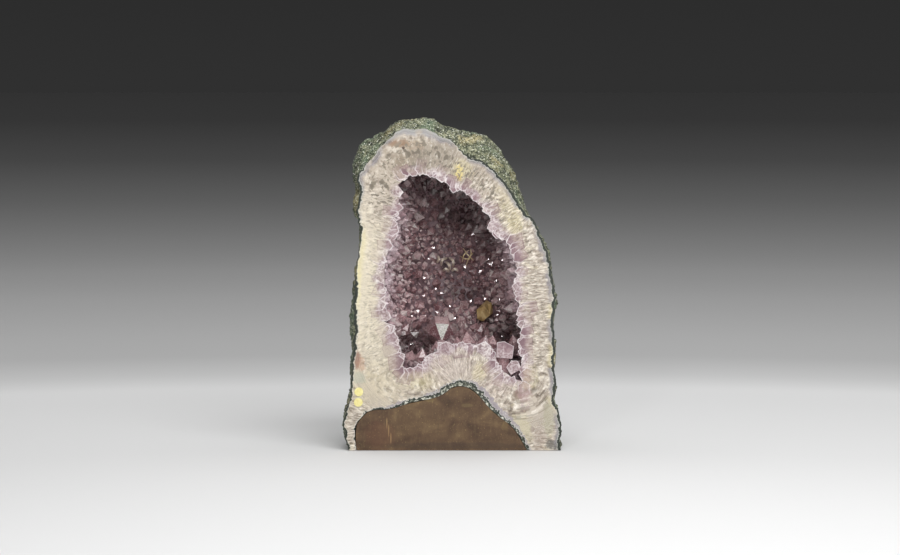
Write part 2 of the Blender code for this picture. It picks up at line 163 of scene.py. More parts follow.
def lattice_noise(points, size, seed):
    """Smooth values from -1 to 1: random numbers at the corners of a lattice of that cell size, blended
    between the corners with the curve 3t^2 - 2t^3."""
    cell = np.asarray(points) / size
    low = np.floor(cell).astype(np.int64)
    t = cell - low
    t = t * t * (3 - 2 * t)
    total = np.zeros(cell.shape[:-1])
    for corner in np.ndindex(*(2,) * cell.shape[-1]):
        at = low + corner
        key = (at * np.array((73856093, 19349663, 83492791))[:at.shape[-1]]).sum(axis=-1) + seed * 7919
        key = ((key ^ (key >> 13)) * 1274126177) & 0x7FFFFFFF
        key = ((key ^ (key >> 11)) * 668265263) & 0x7FFFFFFF
        weight = np.where(corner, t, 1 - t).prod(axis=-1)
        total += weight * ((key >> 8) % 65536 / 32768 - 1)
    return total


# %% [markdown]
# ## Materials
# Every finish is built from nodes. Colours are written as sRGB hex values, and one function adds any
# node with its settings and links. Layers of colour, each let through by a mask, read like paint. Masks
# are reckoned from distances and noise, so a signal can be added and multiplied like a number.

# %% Nodes and colours
def srgb(code):
    """The linear colour of an sRGB hex value, as a Principled shader wants it."""
    part = np.array([int(code[k:k + 2], 16) for k in (1, 3, 5)]) / 255
    linear = np.where(part <= 0.04045, part / 12.92, ((part + 0.055) / 1.055) ** 2.4)
    return (*linear.tolist(), 1.0)


def feed(node, inputs):
    """Gives a node its inputs: an output is linked, and a plain value is set on the socket itself."""
    for key, value in dict(inputs).items():
        value = getattr(value, "socket", value)
        if isinstance(value, bpy.types.NodeSocket):
            node.id_data.links.new(value, node.inputs[key])
        else:
            node.inputs[key].default_value = value


def add(tree, kind, inputs=(), stops=(), **settings):
    """Adds a node of a kind with its settings, inputs and stops of a colour ramp."""
    made = tree.nodes.new("ShaderNode" + kind)
    for name, value in settings.items():
        setattr(made, name, value)
    feed(made, inputs)
    while len(stops) > 2 and len(made.color_ramp.elements) < len(stops):
        made.color_ramp.elements.new(0.5)
    for number, (place, code) in enumerate(stops):
        made.color_ramp.elements[number].position = place
        made.color_ramp.elements[number].color = srgb(code)
    return made


class Signal:
    """An output to reckon with: each sign between it and a number or another signal adds a Math node."""

    def __init__(self, socket):
        self.socket = socket
        self.tree = socket.node.id_data

    def reckoned(self, operation, other):
        return Signal(add(self.tree, "Math", {0: self, 1: other}, operation=operation).outputs[0])

    def __add__(self, other):
        return self.reckoned("ADD", other)

    def __sub__(self, other):
        return self.reckoned("SUBTRACT", other)

    def __mul__(self, other):
        return self.reckoned("MULTIPLY", other)

    def __truediv__(self, other):
        return self.reckoned("DIVIDE", other)

    def mask(self, low, high):
        """Rises smoothly from 0 at low to 1 at high, or falls where low is above high."""
        settings = {"Value": self, "From Min": low, "From Max": high}
        return Signal(add(self.tree, "MapRange", settings, interpolation_type="SMOOTHSTEP").outputs["Result"])


def stored(tree, *names):
    """Numbers that the mesh keeps for each point or face."""
    return [Signal(add(tree, "Attribute", attribute_name=name).outputs["Fac"]) for name in names]


def grain(tree, place, size_mm, detail=2.0, stretch=(1, 1, 1), roughness=0.5, warp=0.0):
    """Noise from 0 to 1 with cells of so many millimetres, on coordinates in metres."""
    scale = [1000 / size_mm / part for part in stretch]
    moved = add(tree, "Mapping", {"Vector": place, "Scale": scale}).outputs[0]
    settings = {"Vector": moved, "Scale": 1.0, "Detail": detail, "Roughness": roughness, "Distortion": warp}
    return Signal(add(tree, "TexNoise", settings).outputs["Fac"])


def far_from(tree, place, x, z, wide, high):
    """How far a point is from an oval's middle, as a share of its half width and half height in mm."""
    spot = add(tree, "Mapping", {
        "Vector": place, "Scale": (1000 / wide, 0, 1000 / high), "Location": (-x / wide, 0, -z / high),
    }).outputs[0]
    return Signal(add(tree, "VectorMath", {0: spot}, operation="LENGTH").outputs["Value"])


def layered(tree, base, layers):
    """Colours laid over a base colour, each as far as its mask lets it through."""
    for mask, colour in layers:
        base = add(tree, "Mix", {0: mask, 6: base, 7: colour}, data_type="RGBA").outputs[2]
    return base


def new_material(name):
    """A Principled material: its node tree and its shader."""
    material = bpy.data.materials.new(name)
    material.use_nodes = True
    return material, material.node_tree, material.node_tree.nodes["Principled BSDF"]


# %% [markdown]
# ## The outlines of the sawn face
# The frame's solids share one flat front. An edge of that front that only one triangle uses is on its
# border, and such edges chain into loops: the outer edge of the shell with the arch over the fill, and
# the jagged edge of the hollow. All that follows is measured from these loops.

# %% Reading the loops
def front_loops(node):
    """Loops round a node's flat front as arrays of x and z in metres, the one with most area first."""
    mesh = frame["nodes"][node].data
    keys = np.round(read(mesh.vertices, "co", 3) / (0.01 * MM)).astype(np.int64)
    found, same = np.unique(keys, axis=0, return_inverse=True)
    triangles = same.ravel()[read(mesh.polygons, "vertices", 3, np.int32)]
    flat = (abs(found[triangles][..., 1] * 0.01 * MM - FRONT_Y) < 0.02 * MM).all(axis=1)
    sides = np.concatenate([triangles[flat][:, pair] for pair in ((0, 1), (1, 2), (2, 0))])
    paired = {tuple(side) for side in sides[:, ::-1].tolist()}
    onward = {start: stop for start, stop in sides.tolist() if (start, stop) not in paired}
    loops = []
    while onward:
        start = next(iter(onward))
        chain = [start]
        while chain[-1] in onward:
            chain.append(onward.pop(chain[-1]))
        loops.append(found[chain[:-1]][:, ::2] * 0.01 * MM)
    return sorted(loops, key=lambda loop: -area_of(loop))


def area_of(loop):
    """Area inside a closed loop, from the cross products of neighbouring points."""
    following = np.roll(loop, -1, axis=0)
    return abs((loop[:, 0] * following[:, 1] - loop[:, 1] * following[:, 0]).sum()) / 2


def even_loop(loop, step):
    """A closed loop with a point about every step along its straight runs."""
    closed = np.concatenate([loop, loop[:1]])
    along = np.concatenate([[0], np.cumsum(np.linalg.norm(np.diff(closed, axis=0), axis=1))])
    wanted = np.linspace(0, along[-1], int(along[-1] / step), endpoint=False)
    return np.stack([np.interp(wanted, along, closed[:, k]) for k in range(2)], axis=1)


def blunted(loop, reach):
    """A closed loop with its corners evened out over so many points to either side."""
    return np.mean([np.roll(loop, step, axis=0) for step in range(-reach, reach + 1)], axis=0)


def inside(spots, loop):
    """Whether spots are inside a closed loop, by how often a line to their right crosses it."""
    x, z = (loop[None] - spots[:, None]).transpose(2, 0, 1)
    next_x, next_z = np.roll(x, -1, axis=1), np.roll(z, -1, axis=1)
    crosses = (z > 0) != (next_z > 0)
    slope = np.where(crosses, next_z - z, 1)
    return ((x - z * (next_x - x) / slope > 0) & crosses).sum(axis=1) % 2 == 1


def nearest(spots, path, closed=True):
    """Distance from spots to a path, and how far along the path the nearest point lies."""
    start = path if closed else path[:-1]
    run = (np.roll(path, -1, axis=0) if closed else path[1:]) - start
    length = np.linalg.norm(run, axis=1)
    share = np.clip(((spots[:, None] - start) * run).sum(axis=-1) / length**2, 0, 1)
    miss = np.linalg.norm(spots[:, None] - start - share[..., None] * run, axis=-1)
    best = miss.argmin(axis=1)
    row = np.arange(len(spots))
    before = np.concatenate([[0], np.cumsum(length)[:-1]])
    return miss[row, best], before[best] + share[row, best] * length[best]


OUTER = front_loops("quartz_shell")[0]
TEETH = even_loop(front_loops("amethyst_crust")[-1], 1.2 * MM)
FILL_EDGE = front_loops("base_fill")[0]
RIM = blunted(TEETH, 14)
print("outer", len(OUTER), "teeth", len(TEETH), "fill", len(FILL_EDGE))

# %% [markdown]
# The outer loop has two parts. Where it runs along the fill it is the arch, and the rest is the rock's
# own edge. A saw leaves that edge a little chipped, so both get a fine zigzag that depends on the place
# alone. Pieces that share the edge then agree on it.

# %% The chipped edge
TABLE_Z = 0.3 * MM  # what is lower stands on the table
CHIP_SIZES = ((9, 0.9), (3.4, 0.8), (1.6, 0.4))  # length and depth of the chips, mm


def rounded(path, step):
    """A smooth run through the points of an open path, with a point about every step."""
    slope = np.gradient(path, axis=0)
    t = np.linspace(0, 1, 12, endpoint=False)[:, None, None]
    dense = (
        (2 * t**3 - 3 * t**2 + 1) * path[:-1] + (t**3 - 2 * t**2 + t) * slope[:-1]
        + (3 * t**2 - 2 * t**3) * path[1:] + (t**3 - t**2) * slope[1:]
    ).transpose(1, 0, 2).reshape(-1, path.shape[1])
    dense = np.concatenate([dense, path[-1:]])
    along = np.concatenate([[0], np.cumsum(np.linalg.norm(np.diff(dense, axis=0), axis=1))])
    wanted = np.linspace(0, along[-1], int(along[-1] / step))
    return np.stack([np.interp(wanted, along, column) for column in dense.T], axis=1)


def chipped(path, depth=1.0):
    """Points moved across their path by noise of several sizes; what is on the table stays there."""
    run = np.gradient(path, axis=0)
    across = np.stack([run[:, 1], -run[:, 0]], axis=1) / np.linalg.norm(run, axis=1)[:, None]
    push = sum(deep * MM * lattice_noise(path, size * MM, 31) for size, deep in CHIP_SIZES)
    moved = path + across * (push * depth * (path[:, 1] > TABLE_Z))[:, None]
    return np.stack([moved[:, 0], np.maximum(moved[:, 1], 0)], axis=1)


on_arch = nearest(OUTER, FILL_EDGE)[0] < 1.5 * MM
first_arch = np.flatnonzero(on_arch & ~np.roll(on_arch, 1))[0]
turned = np.roll(OUTER, -first_arch, axis=0)
arch_points = int(on_arch.sum())
ARCH = chipped(rounded(turned[:arch_points], 1.0 * MM), 0.35)
rock = turned[arch_points:]
off_table = np.flatnonzero(rock[:, 1] > TABLE_Z)
EDGE = chipped(rounded(rock[off_table[0] - 1:off_table[-1] + 2], 1.35 * MM))
print("arch", len(ARCH), "points, rock edge", len(EDGE), "points")

# %% [markdown]
# ## The sawn face
# The saw and the grinding wheel left a flat face that shows the wall in section. From outside in: a black
# line of celadonite, a white line, fine grey-lavender agate bands, a comb of cream quartz whose fibres
# stand square to the wall, and the glassy lavender feet of the amethyst. It could be a plain disc with a
# picture on it. Here it is a flat sheet of points, each of which knows how far it is from the rock, from
# the arch and from the hollow, and the pattern follows from those distances alone.

# %% The face's material
# Stains and patches of the face: x, z, half width, half height in mm, colour, strength
STAINS = (
    (-84, 160, 18, 62, "#dfd5be", 0.7), (-66, 118, 20, 60, "#dad0ba", 0.55),
    (-70, 60, 22, 16, "#d3c6aa", 0.45),
    (-8, 262, 50, 24, "#a39686", 0.6), (-52, 250, 16, 22, "#b1a492", 0.5), (-30, 263, 7, 10, "#8d8072", 0.6),
    (-47, 261, 4.5, 7, "#857663", 0.7), (-37, 268, 3, 5, "#8c7f6e", 0.6), (-10, 268, 16, 12, "#8e8578", 0.45),
    (7, 253, 3, 6, "#dcc777", 0.7), (6, 248, 2, 2.6, "#9a7628", 0.6), (9, 256, 8, 8, "#d8cc94", 0.3),
    (-48, 279, 9, 3, "#8b6a4e", 0.7), (-34, 277, 8, 4, "#a08a70", 0.4), (-44, 275, 1.3, 1.3, "#41261a", 0.95),
    (55, 226, 12, 18, "#d6cb96", 0.25), (58, 205, 6, 7, "#d6ca84", 0.2),
    (-86, 83, 2.6, 7, "#7b4030", 0.75), (-82, 79, 3.4, 6, "#b3866c", 0.5), (-84, 66, 5, 5, "#93a698", 0.35),
    (60, 50, 3.4, 4, "#85705f", 0.75), (65.5, 38, 4.4, 3, "#83706a", 0.65), (66, 62, 6, 18, "#a8858c", 0.5),
    (92, 5, 6, 4, "#55544f", 0.8), (96, 11, 2, 4, "#6a6a62", 0.6), (80, 12, 5, 10, "#a8968c", 0.4),
    (73, 19, 2, 3, "#8f7d76", 0.6), (62, 17, 9, 14, "#d6cfa6", 0.4), (88, 30, 5, 14, "#a9a88c", 0.45),
    (-86, 152, 3, 20, "#e2d9a4", 0.5),
    (25, 72, 6, 8, "#cfc48e", 0.4), (-28, 64, 12, 7, "#cdc292", 0.45), (70, 66, 8, 10, "#ded79a", 0.2),
    (-6, 76, 26, 12, "#d0bfba", 0.35), (40, 60, 12, 10, "#cbb8b2", 0.35), (-60, 228, 14, 26, "#c9bdb0", 0.4),
)
# What each point of the face knows: distances in mm, strengths from 0 to 1
FACE_VALUES = (
    "skin_mm", "arch_mm", "rim_mm", "agate_mm", "dark_mm", "lemon", "fringe_mm", "fold_mm", "cut_edge",
    "violet",
)


def sawn_quartz():
    """Comb quartz and agate, sawn and ground: a soft gloss, with the finest lines left to the colour."""
    material, tree, shader = new_material("sawn comb quartz and agate")
    place = add(tree, "TexCoord").outputs["Object"]
    height = Signal(add(tree, "SeparateXYZ", {0: place}).outputs["Z"])
    by_rim, by_skin = (add(tree, "UVMap", uv_map=name).outputs["UV"] for name in ("UVMap", "SkinUV"))
    skin, arch, rim, agate, dark, lemon, fringe, fold, cut_edge, violet = stored(tree, *FACE_VALUES)
    wall = add(tree, "Mix", {0: rim.mask(38, 52), 4: by_rim, 5: by_skin}, data_type="VECTOR").outputs[1]
    fibres = grain(tree, wall, 2.0, 4, (1, 3.6, 1), 0.66, 0.5)
    threads = grain(tree, wall, 1.1, 2, (1, 4, 1), 0.6)
    flecks = grain(tree, wall, 1.5, 2, (1, 2.6, 1), 0.5, 0.6)
    lenses = grain(tree, wall, 2.6, 1, (1, 2.4, 1), 0.4, 0.4)
    blotches = grain(tree, place, 9, 3, warp=0.6)
    wander = grain(tree, place, 4.5, 3, roughness=0.6) - 0.5
    nicks = grain(tree, place, 1.9, 2, roughness=0.6) - 0.5
    drift = grain(tree, place, 15, 2) - 0.5
    # Quartz fibres, darker and paler blotches, and the stains
    colour = add(
        tree, "ValToRGB", {"Fac": fibres},
        ((0.36, "#675b4e"), (0.45, "#a3978a"), (0.55, "#c6bbac"), (0.66, "#ece5da")),
    ).outputs["Color"]
    colour = layered(tree, colour, (
        (blotches.mask(0.52, 0.72) * 0.4, srgb("#b09f8e")),
        (blotches.mask(0.46, 0.3) * 0.2, srgb("#dfd3a8")),
    ))
    ragged = wander * 1.6 + nicks * 0.9
    for x, z, wide, high, code, strength in STAINS:
        soft = 0.35 if wide < 10 else 0.8
        stain = (far_from(tree, place, x, z, wide, high) + ragged).mask(1.1 + soft, 1.1 - soft)
        colour = layered(tree, colour, ((stain * strength, srgb(code)),))
    # Flecks between the fibres, most of them high up, and a lemon tint next to the rock
    high_up = height.mask(195 * MM, 235 * MM)
    middle = rim.mask(3, 9) * skin.mask(5, 11)
    colour = layered(tree, colour, (
        (threads.mask(0.55, 0.72) * 0.5, srgb("#e9e4da")),
        (threads.mask(0.44, 0.3) * 0.35, srgb("#8f8578")),
        (flecks.mask(0.53, 0.62) * middle * (high_up * 0.55 + 0.45), srgb("#837a6b")),
        (lenses.mask(0.58, 0.66) * middle * high_up, srgb("#736a5d")),
        (lemon * skin.mask(8, 2) * 0.45, srgb("#dcd19a")),
    ))
    # Glassy lavender feet of the amethyst, with a web of pale seams
    lavender = add(
        tree, "ValToRGB", {"Fac": grain(tree, place, 3.4, 3, warp=0.9)},
        ((0.34, "#6a5359"), (0.44, "#917880"), (0.54, "#b3a2a6"), (0.66, "#ddd5d5")),
    ).outputs["Color"]
    bent = add(tree, "VectorMath", {
        0: add(tree, "Mapping", {"Vector": place, "Scale": (130, 130, 130)}).outputs[0], 1: blotches,
    }, operation="ADD").outputs[0]
    cells = add(tree, "TexVoronoi", {"Vector": bent, "Scale": 1.0}, feature="DISTANCE_TO_EDGE")
    seams = Signal(cells.outputs["Distance"]).mask(0.055, 0.015)
    colour = layered(tree, colour, (
        ((rim + drift * 26 + wander * 9).mask(10, 2) * 0.8, lavender),
        (violet * 0.8, srgb("#86656d")),
        (violet.mask(0.6, 0.95) * 0.55, srgb("#694a54")),
        (seams * rim.mask(13, 3) * (violet * -0.35 + 0.35), srgb("#f2edeb")),
    ))
    # Agate bands and the black line along the rock, then the same along the arch with its pale fringe
    from_skin = skin + wander * 4 + nicks * 2.4
    beyond = arch + wander * 8 + nicks * 5 - fringe
    lines = add(
        tree, "ValToRGB", {"Fac": from_skin * 0.1},
        ((0.0, "#63645f"), (0.10, "#a9a8a4"), (0.15, "#5f5e60"), (0.22, "#8f8c8e"), (0.28, "#5f5d60"),
         (0.36, "#969196"), (0.45, "#78747a"), (0.6, "#948d8c")),
    ).outputs["Color"]
    grains = add(
        tree, "ValToRGB", {"Fac": grain(tree, place, 2.4, 2)},
        ((0.42, "#33372b"), (0.51, "#85877a"), (0.62, "#d0cfc2")),
    ).outputs["Color"]
    banded = (from_skin - agate).mask(1.6, -2.6) * drift.mask(-0.2, 0.0)
    colour = layered(tree, colour, (
        (banded * 0.85, lines),
        (banded * height.mask(279 * MM, 287 * MM) * 0.35, srgb("#b9b9b8")),
        ((from_skin - dark).mask(1.0, 0.5) * 0.4, srgb("#cdcec6")),
        ((from_skin - dark).mask(0.25, -0.25), srgb("#20271d")),
        ((beyond - fold).mask(2.2, 1.2) * 0.8, srgb("#948c95")),
        (beyond.mask(3.2, 2.6) * 0.5, srgb("#c9c9c0")),
        (beyond.mask(2.2, 1.6), srgb("#1f281e")),
        (beyond.mask(0.4, -0.2), grains),
        (cut_edge, srgb("#f6f0f1")),
    ))
    shine = add(tree, "MapRange", {"Value": fibres, "To Min": 0.28, "To Max": 0.42}).outputs["Result"]
    bump = add(tree, "Bump", {"Height": fibres, "Strength": 0.12, "Distance": 0.2 * MM}).outputs["Normal"]
    feed(shader, {"Base Color": colour, "Roughness": shine, "Normal": bump, "IOR": 1.54})
    return material


SAWN = sawn_quartz()

# %% The face's sheet
HEART = np.array([0, -12, 125]) * MM  # the middle from which bearings and the skin's rays are taken
POLISH = 0.08 * MM  # how far the sheet stands before the solid's front
LATTICE = 1.5 * MM


def in_parts(function, spots, count=12):
    """A function of spots and a path, worked out in parts to save memory."""
    found = [function(part) for part in np.array_split(spots, count)]
    return [np.concatenate(column) for column in zip(*found)]


# The edge carried on below the table, so that distances from it run straight at the feet
LONG_EDGE = np.concatenate([EDGE[:1] - [0, 60 * MM], EDGE, EDGE[-1:] - [0, 60 * MM]])
# The same edge evened over a couple of centimetres: the fibres start from it, not from single chips
EVEN_STEPS = 21
padded = np.pad(rounded(LONG_EDGE, 1.35 * MM), ((EVEN_STEPS // 2,) * 2, (0, 0)), "edge")
share = np.full(EVEN_STEPS, 1 / EVEN_STEPS)
EVEN_EDGE = np.stack([np.convolve(column, share, "valid") for column in padded.T], axis=1)
# Along the rock's edge, by bearing from straight up in degrees: width of the agate, of the black line,
# and strength of the lemon stain
AGATE_MM = (
    (-180, 0), (-62, 0), (-48, 0.5), (-44, 3), (-37, 3), (-34, 5), (-25, 6), (-18, 3), (-14, 5.5), (-6, 6.5),
    (0, 3.5), (10, 5), (22, 5), (45, 5), (60, 6.5), (76, 6), (84, 6), (86, 0), (92, 0), (94, 5.5), (106, 5.5),
    (108, 0), (118, 0), (120, 6), (129, 6), (131, 0), (133, 0), (135, 5.5), (145, 5),
)
BLACK_MM = (
    (-180, 1), (-140, 1.6), (-120, 1), (-112, 2.6), (-72, 2.8), (-67, 0.3), (-50, 0.4), (-46, 1.8), (-36, 2),
    (-30, 0.8), (-20, -1), (-4, -1), (4, 1.2), (12, 1.7), (30, 2.0), (60, 2.1), (100, 2.2), (145, 2.0),
)
LEMON = (
    (-180, 0), (-75, 0.2), (-68, 1), (-48, 0.9), (-44, 0), (83, 0), (86, 1), (92, 1), (94, 0), (107, 0),
    (109, 1), (118, 1), (120, 0), (130, 0), (132, 0.8), (134, 0), (145, 0),
)
# Along the arch, by x in mm: width of the pale fringe and of the agate beyond the dark fold
FRINGE_MM = (
    (-88, -2), (-70, -1.5), (-50, -0.5), (-38, 0.6), (-20, 1.6), (0, 2.8), (14, 3.4), (28, 2), (45, 0.4),
    (68, 0),
)
FOLD_MM = (
    (-88, 0), (-72, 0), (-62, 1.5), (-48, 3), (-40, 0), (-30, 0), (-22, 2.5), (-8, 1.5), (10, 0.5), (22, 2.5),
    (34, 5), (46, 5), (58, 3), (68, 2),
)


def wall_values(spots):
    """For spots of the face: the first eight FACE_VALUES, and two UV maps, along the rim and the skin."""
    skin, _ = in_parts(lambda part: nearest(part, LONG_EDGE, False), spots)
    below_skin, along_skin = in_parts(lambda part: nearest(part, EVEN_EDGE, False), spots)
    arch, _ = in_parts(lambda part: nearest(part, ARCH, False), spots)
    rim, along_rim = in_parts(lambda part: nearest(part, RIM), spots)
    rim *= np.where(inside(spots, RIM[::4]), -1, 1)
    bearing = np.degrees(np.arctan2(spots[:, 0] - HEART[0], spots[:, 1] - HEART[2]))
    by_bearing = [np.interp(bearing, *zip(*table)) for table in (AGATE_MM, BLACK_MM, LEMON)]
    by_x = [np.interp(spots[:, 0] / MM, *zip(*table)) for table in (FRINGE_MM, FOLD_MM)]
    values = [skin / MM, arch / MM, rim / MM, *by_bearing, *by_x]
    return values, np.stack([along_rim, rim], axis=1), np.stack([along_skin, below_skin], axis=1)


def wear(piece, spots, cut_edge, violet=0.0):
    """Stores what the face's material reads."""
    values, by_rim, by_skin = wall_values(spots)
    for name, column in zip(FACE_VALUES, [*values, cut_edge, np.broadcast_to(violet, len(spots))]):
        add_values(piece, name, column)
    add_uv(piece, "UVMap", by_rim)
    add_uv(piece, "SkinUV", by_skin)


def make_sawn_face():
    """A lattice of points inside the border and outside the teeth, joined to both in triangles."""
    border = np.concatenate([EDGE, ARCH])
    low, high = border.min(axis=0), border.max(axis=0)
    columns = np.arange(low[0], high[0], LATTICE)
    rows = np.arange(low[1], high[1], LATTICE * math.sqrt(3) / 2)
    x, z = np.meshgrid(columns, rows)
    x = x + (np.arange(len(rows)) % 2 * LATTICE / 2)[:, None]
    spots = np.stack([x.ravel(), z.ravel()], axis=1)
    parts = np.array_split(spots, 12)
    spots = spots[np.concatenate([inside(part, border[::3]) & ~inside(part, TEETH) for part in parts])]
    clear = in_parts(lambda part: (nearest(part, border)[0], nearest(part, TEETH)[0]), spots)
    spots = spots[(clear[0] > 0.6 * LATTICE) & (clear[1] > 0.6 * LATTICE)]
    sides = [(k, (k + 1) % len(border)) for k in range(len(border))]
    sides += [(len(border) + k, len(border) + (k + 1) % len(TEETH)) for k in range(len(TEETH))]
    every = np.concatenate([border, TEETH, spots])
    found = delaunay_2d_cdt([Vector(spot) for spot in every], sides, [], 1, 1e-9)
    places = np.array([tuple(place) for place in found[0]])
    faces = np.array([face for face in found[2] if len(face) == 3])
    middles = places[faces].mean(axis=1)
    hole = np.concatenate([inside(part, TEETH) for part in np.array_split(middles, 24)])
    faces = faces[~hole]
    run, rise = places[faces[:, 1]] - places[faces[:, 0]], places[faces[:, 2]] - places[faces[:, 0]]
    turned_away = run[:, 0] * rise[:, 1] - run[:, 1] * rise[:, 0] < 0
    faces[turned_away] = faces[turned_away][:, ::-1]
    points = np.stack([places[:, 0], np.full(len(places), FRONT_Y - POLISH), places[:, 1]], axis=1)
    face = new_piece("sawn_face", points, [faces], [SAWN])
    wear(face, places, np.zeros(len(places)))
    return face


sawn_face = make_sawn_face()
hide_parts("quartz_shell")

# %% [markdown]
# ## The rock skin
# Outside the agate the nodule keeps a coat of weathered basalt and green celadonite. It is lumpy at every
# scale from a fist down to a grain of sand. A sphere of points round the heart of the nodule is pulled
# inwards onto the solid, as cling film would be, then noise of five sizes raises its lumps and grains.

# %% The skin's material
def celadonite():
    """Weathered basalt with celadonite: matt, granular green with ochre and cream, pale grains partly painted
    as glints, and painted shade in its pits and hollows.
    """
    material, tree, shader = new_material("celadonite and weathered basalt")
    place = add(tree, "TexCoord").outputs["Object"]
    relief = stored(tree, "relief")[0]
    coarse = grain(tree, place, 5, 4, roughness=0.72)
    fine = grain(tree, place, 1.7, 3, roughness=0.7)
    sand = grain(tree, place, 1.2, 1)
    patches = grain(tree, place, 30, 2, warp=0.5)
    colour = add(
        tree, "ValToRGB", {"Fac": coarse},
        ((0.33, "#23271e"), (0.43, "#474c39"), (0.52, "#686c54"), (0.61, "#8f8f73"), (0.72, "#c2c1a2")),
    ).outputs["Color"]
    colour = layered(tree, colour, (
        (patches.mask(0.48, 0.36) * 0.4, srgb("#5f7a62")),
        (patches.mask(0.55, 0.66) * 0.3, srgb("#a8955e")),
        (patches.mask(0.63, 0.72) * 0.5, srgb("#d9cd9c")),
        # dark grains where the bump is lowest: partly the rock's dark colour, partly painted shade in the
        # pits
        (fine.mask(0.5, 0.37) * 0.85, srgb("#1c2017")),
        # painted shade in the hollows between the lumps, where the stored relief is low
        (relief.mask(0.42, 0.1) * 0.75, srgb("#181c14")),
        (fine.mask(0.56, 0.68) * 0.65, srgb("#d3d4bb")),
        # pale grains, glossier than the rest, whose white specks are partly painted glints
        (sand.mask(0.64, 0.71), srgb("#f2f3e6")),
    ))
    bump = add(tree, "Bump", {"Height": fine, "Strength": 0.7, "Distance": 0.8 * MM}).outputs["Normal"]
    shine = add(tree, "MapRange", {
        "Value": sand, "From Min": 0.6, "From Max": 0.8, "To Min": 0.85, "To Max": 0.35,
    }).outputs["Result"]
    feed(shader, {"Base Color": colour, "Roughness": shine, "Normal": bump})
    return material


SKIN = celadonite()

# %% The skin's grid
SKIN_ROWS = 150
FILM_RADIUS = 0.4
# How far the film is drawn in, in mm, by bearing from straight up in degrees; less than 0 is a ledge
DRAWN_IN = (
    (-180, 0), (-37, 0), (-33, -6), (-28, -5), (-24, 0), (27, 0), (34, 3.5), (41, 7), (48, 5.5), (58, 0),
    (180, 0),
)
LUMP_SIZES = ((26, 1.6), (12, 1.6), (6, 1.8), (3.4, 1.6), (2.1, 1.1))  # length and height, mm


def loose_target(*nodes):
    """One mesh object with the triangles of several nodes, to lay a film on; it is removed afterwards."""
    points, faces = [], []
    for node in nodes:
        mesh = frame["nodes"][node].data
        faces.append(read(mesh.polygons, "vertices", 3, np.int32) + sum(len(part) for part in points))
        points.append(read(mesh.vertices, "co", 3))
    mesh = bpy.data.meshes.new("film_target")
    mesh.from_pydata(np.concatenate(points).tolist(), [], np.concatenate(faces).tolist())
    target = bpy.data.objects.new("film_target", mesh)
    bpy.context.scene.collection.objects.link(target)
    return target


def pulled_onto(points, faces, target):
    """Where a Shrinkwrap modifier puts the points of a mesh: straight in along their normals."""
    mesh = bpy.data.meshes.new("film")
    mesh.from_pydata(points.reshape(-1, 3).tolist(), [], faces.tolist())
    film = bpy.data.objects.new("film", mesh)
    bpy.context.scene.collection.objects.link(film)
    wrap = film.modifiers.new("wrap", "SHRINKWRAP")
    wrap.target = target
    wrap.wrap_method = "PROJECT"
    wrap.use_negative_direction = True
    wrap.use_positive_direction = False
    shown = film.evaluated_get(bpy.context.evaluated_depsgraph_get()).data
    spots = read(shown.vertices, "co", 3)
    bpy.data.objects.remove(film)
    return spots.reshape(points.shape).astype(float)


def skin_film(hem, bearing, share):
    """A film drawn onto the solids from the rear forwards; its last row lies on the sawn edge."""
    reach = np.hypot(hem[:, 0] - HEART[0], hem[:, 1] - HEART[2])
    lean = share * np.arctan2(reach, FRONT_Y - HEART[1])
    rays = np.stack([np.sin(lean) * np.sin(bearing), np.cos(lean), np.sin(lean) * np.cos(bearing)], axis=-1)
    target = loose_target("quartz_shell", "base_fill")
    points = pulled_onto(HEART + rays * FILM_RADIUS, grid_faces(SKIN_ROWS, len(hem), True), target)
    bpy.data.objects.remove(target)
    print("rays that missed the solid:", int((np.linalg.norm(points[:-1] - HEART, axis=-1) > 0.3).sum()))
    points[-1] = np.stack([hem[:, 0], np.full(len(hem), FRONT_Y), hem[:, 1]], axis=1)
    return points


def evened(points, still):
    """Five rounds in which each point moves towards its neighbours' middle, apart from still ones."""
    for _ in range(5):
        even = (np.roll(points, 1, axis=1) + 2 * points + np.roll(points, -1, axis=1)) / 4
        even[1:-1] = (even[:-2] + 2 * even[1:-1] + even[2:]) / 4
        even[-1] = points[-1]
        points = np.where(still[..., None], points, even)
    return points


def drawn_in(points, bearing, share):
    """Points moved towards the upright axis through the heart as DRAWN_IN says, less so near the edge."""
    turned_to_top = (np.degrees(bearing) + 180) % 360 - 180
    drawn = np.interp(turned_to_top, *zip(*DRAWN_IN)) * np.clip((1 - share) * SKIN_ROWS / 12, 0, 1)
    drawn = drawn * np.clip(3 * share, 0, 1) * MM
    return points - unit((points - HEART) * [1, 0, 1]) * drawn[..., None]


def lumps(points):
    """How far lumps stand out at each point, in mm, and the directions square to the surface.

    The two largest sizes are plain noise n, and the smaller ones are ridges, 0.55 - 1.6 |n|."""
    along = np.roll(points, -1, axis=1) - np.roll(points, 1, axis=1)
    normal = unit(np.cross(along, np.gradient(points, axis=0)))
    normal *= np.sign((normal * (points - HEART)).sum(axis=-1))[..., None]
    relief = np.zeros(points.shape[:2])
    for number, (size, height) in enumerate(LUMP_SIZES):
        noise = lattice_noise(points, size * MM, 50 + number)
        relief += height * (noise if number < 2 else 0.55 - 1.6 * abs(noise))
    return relief, normal


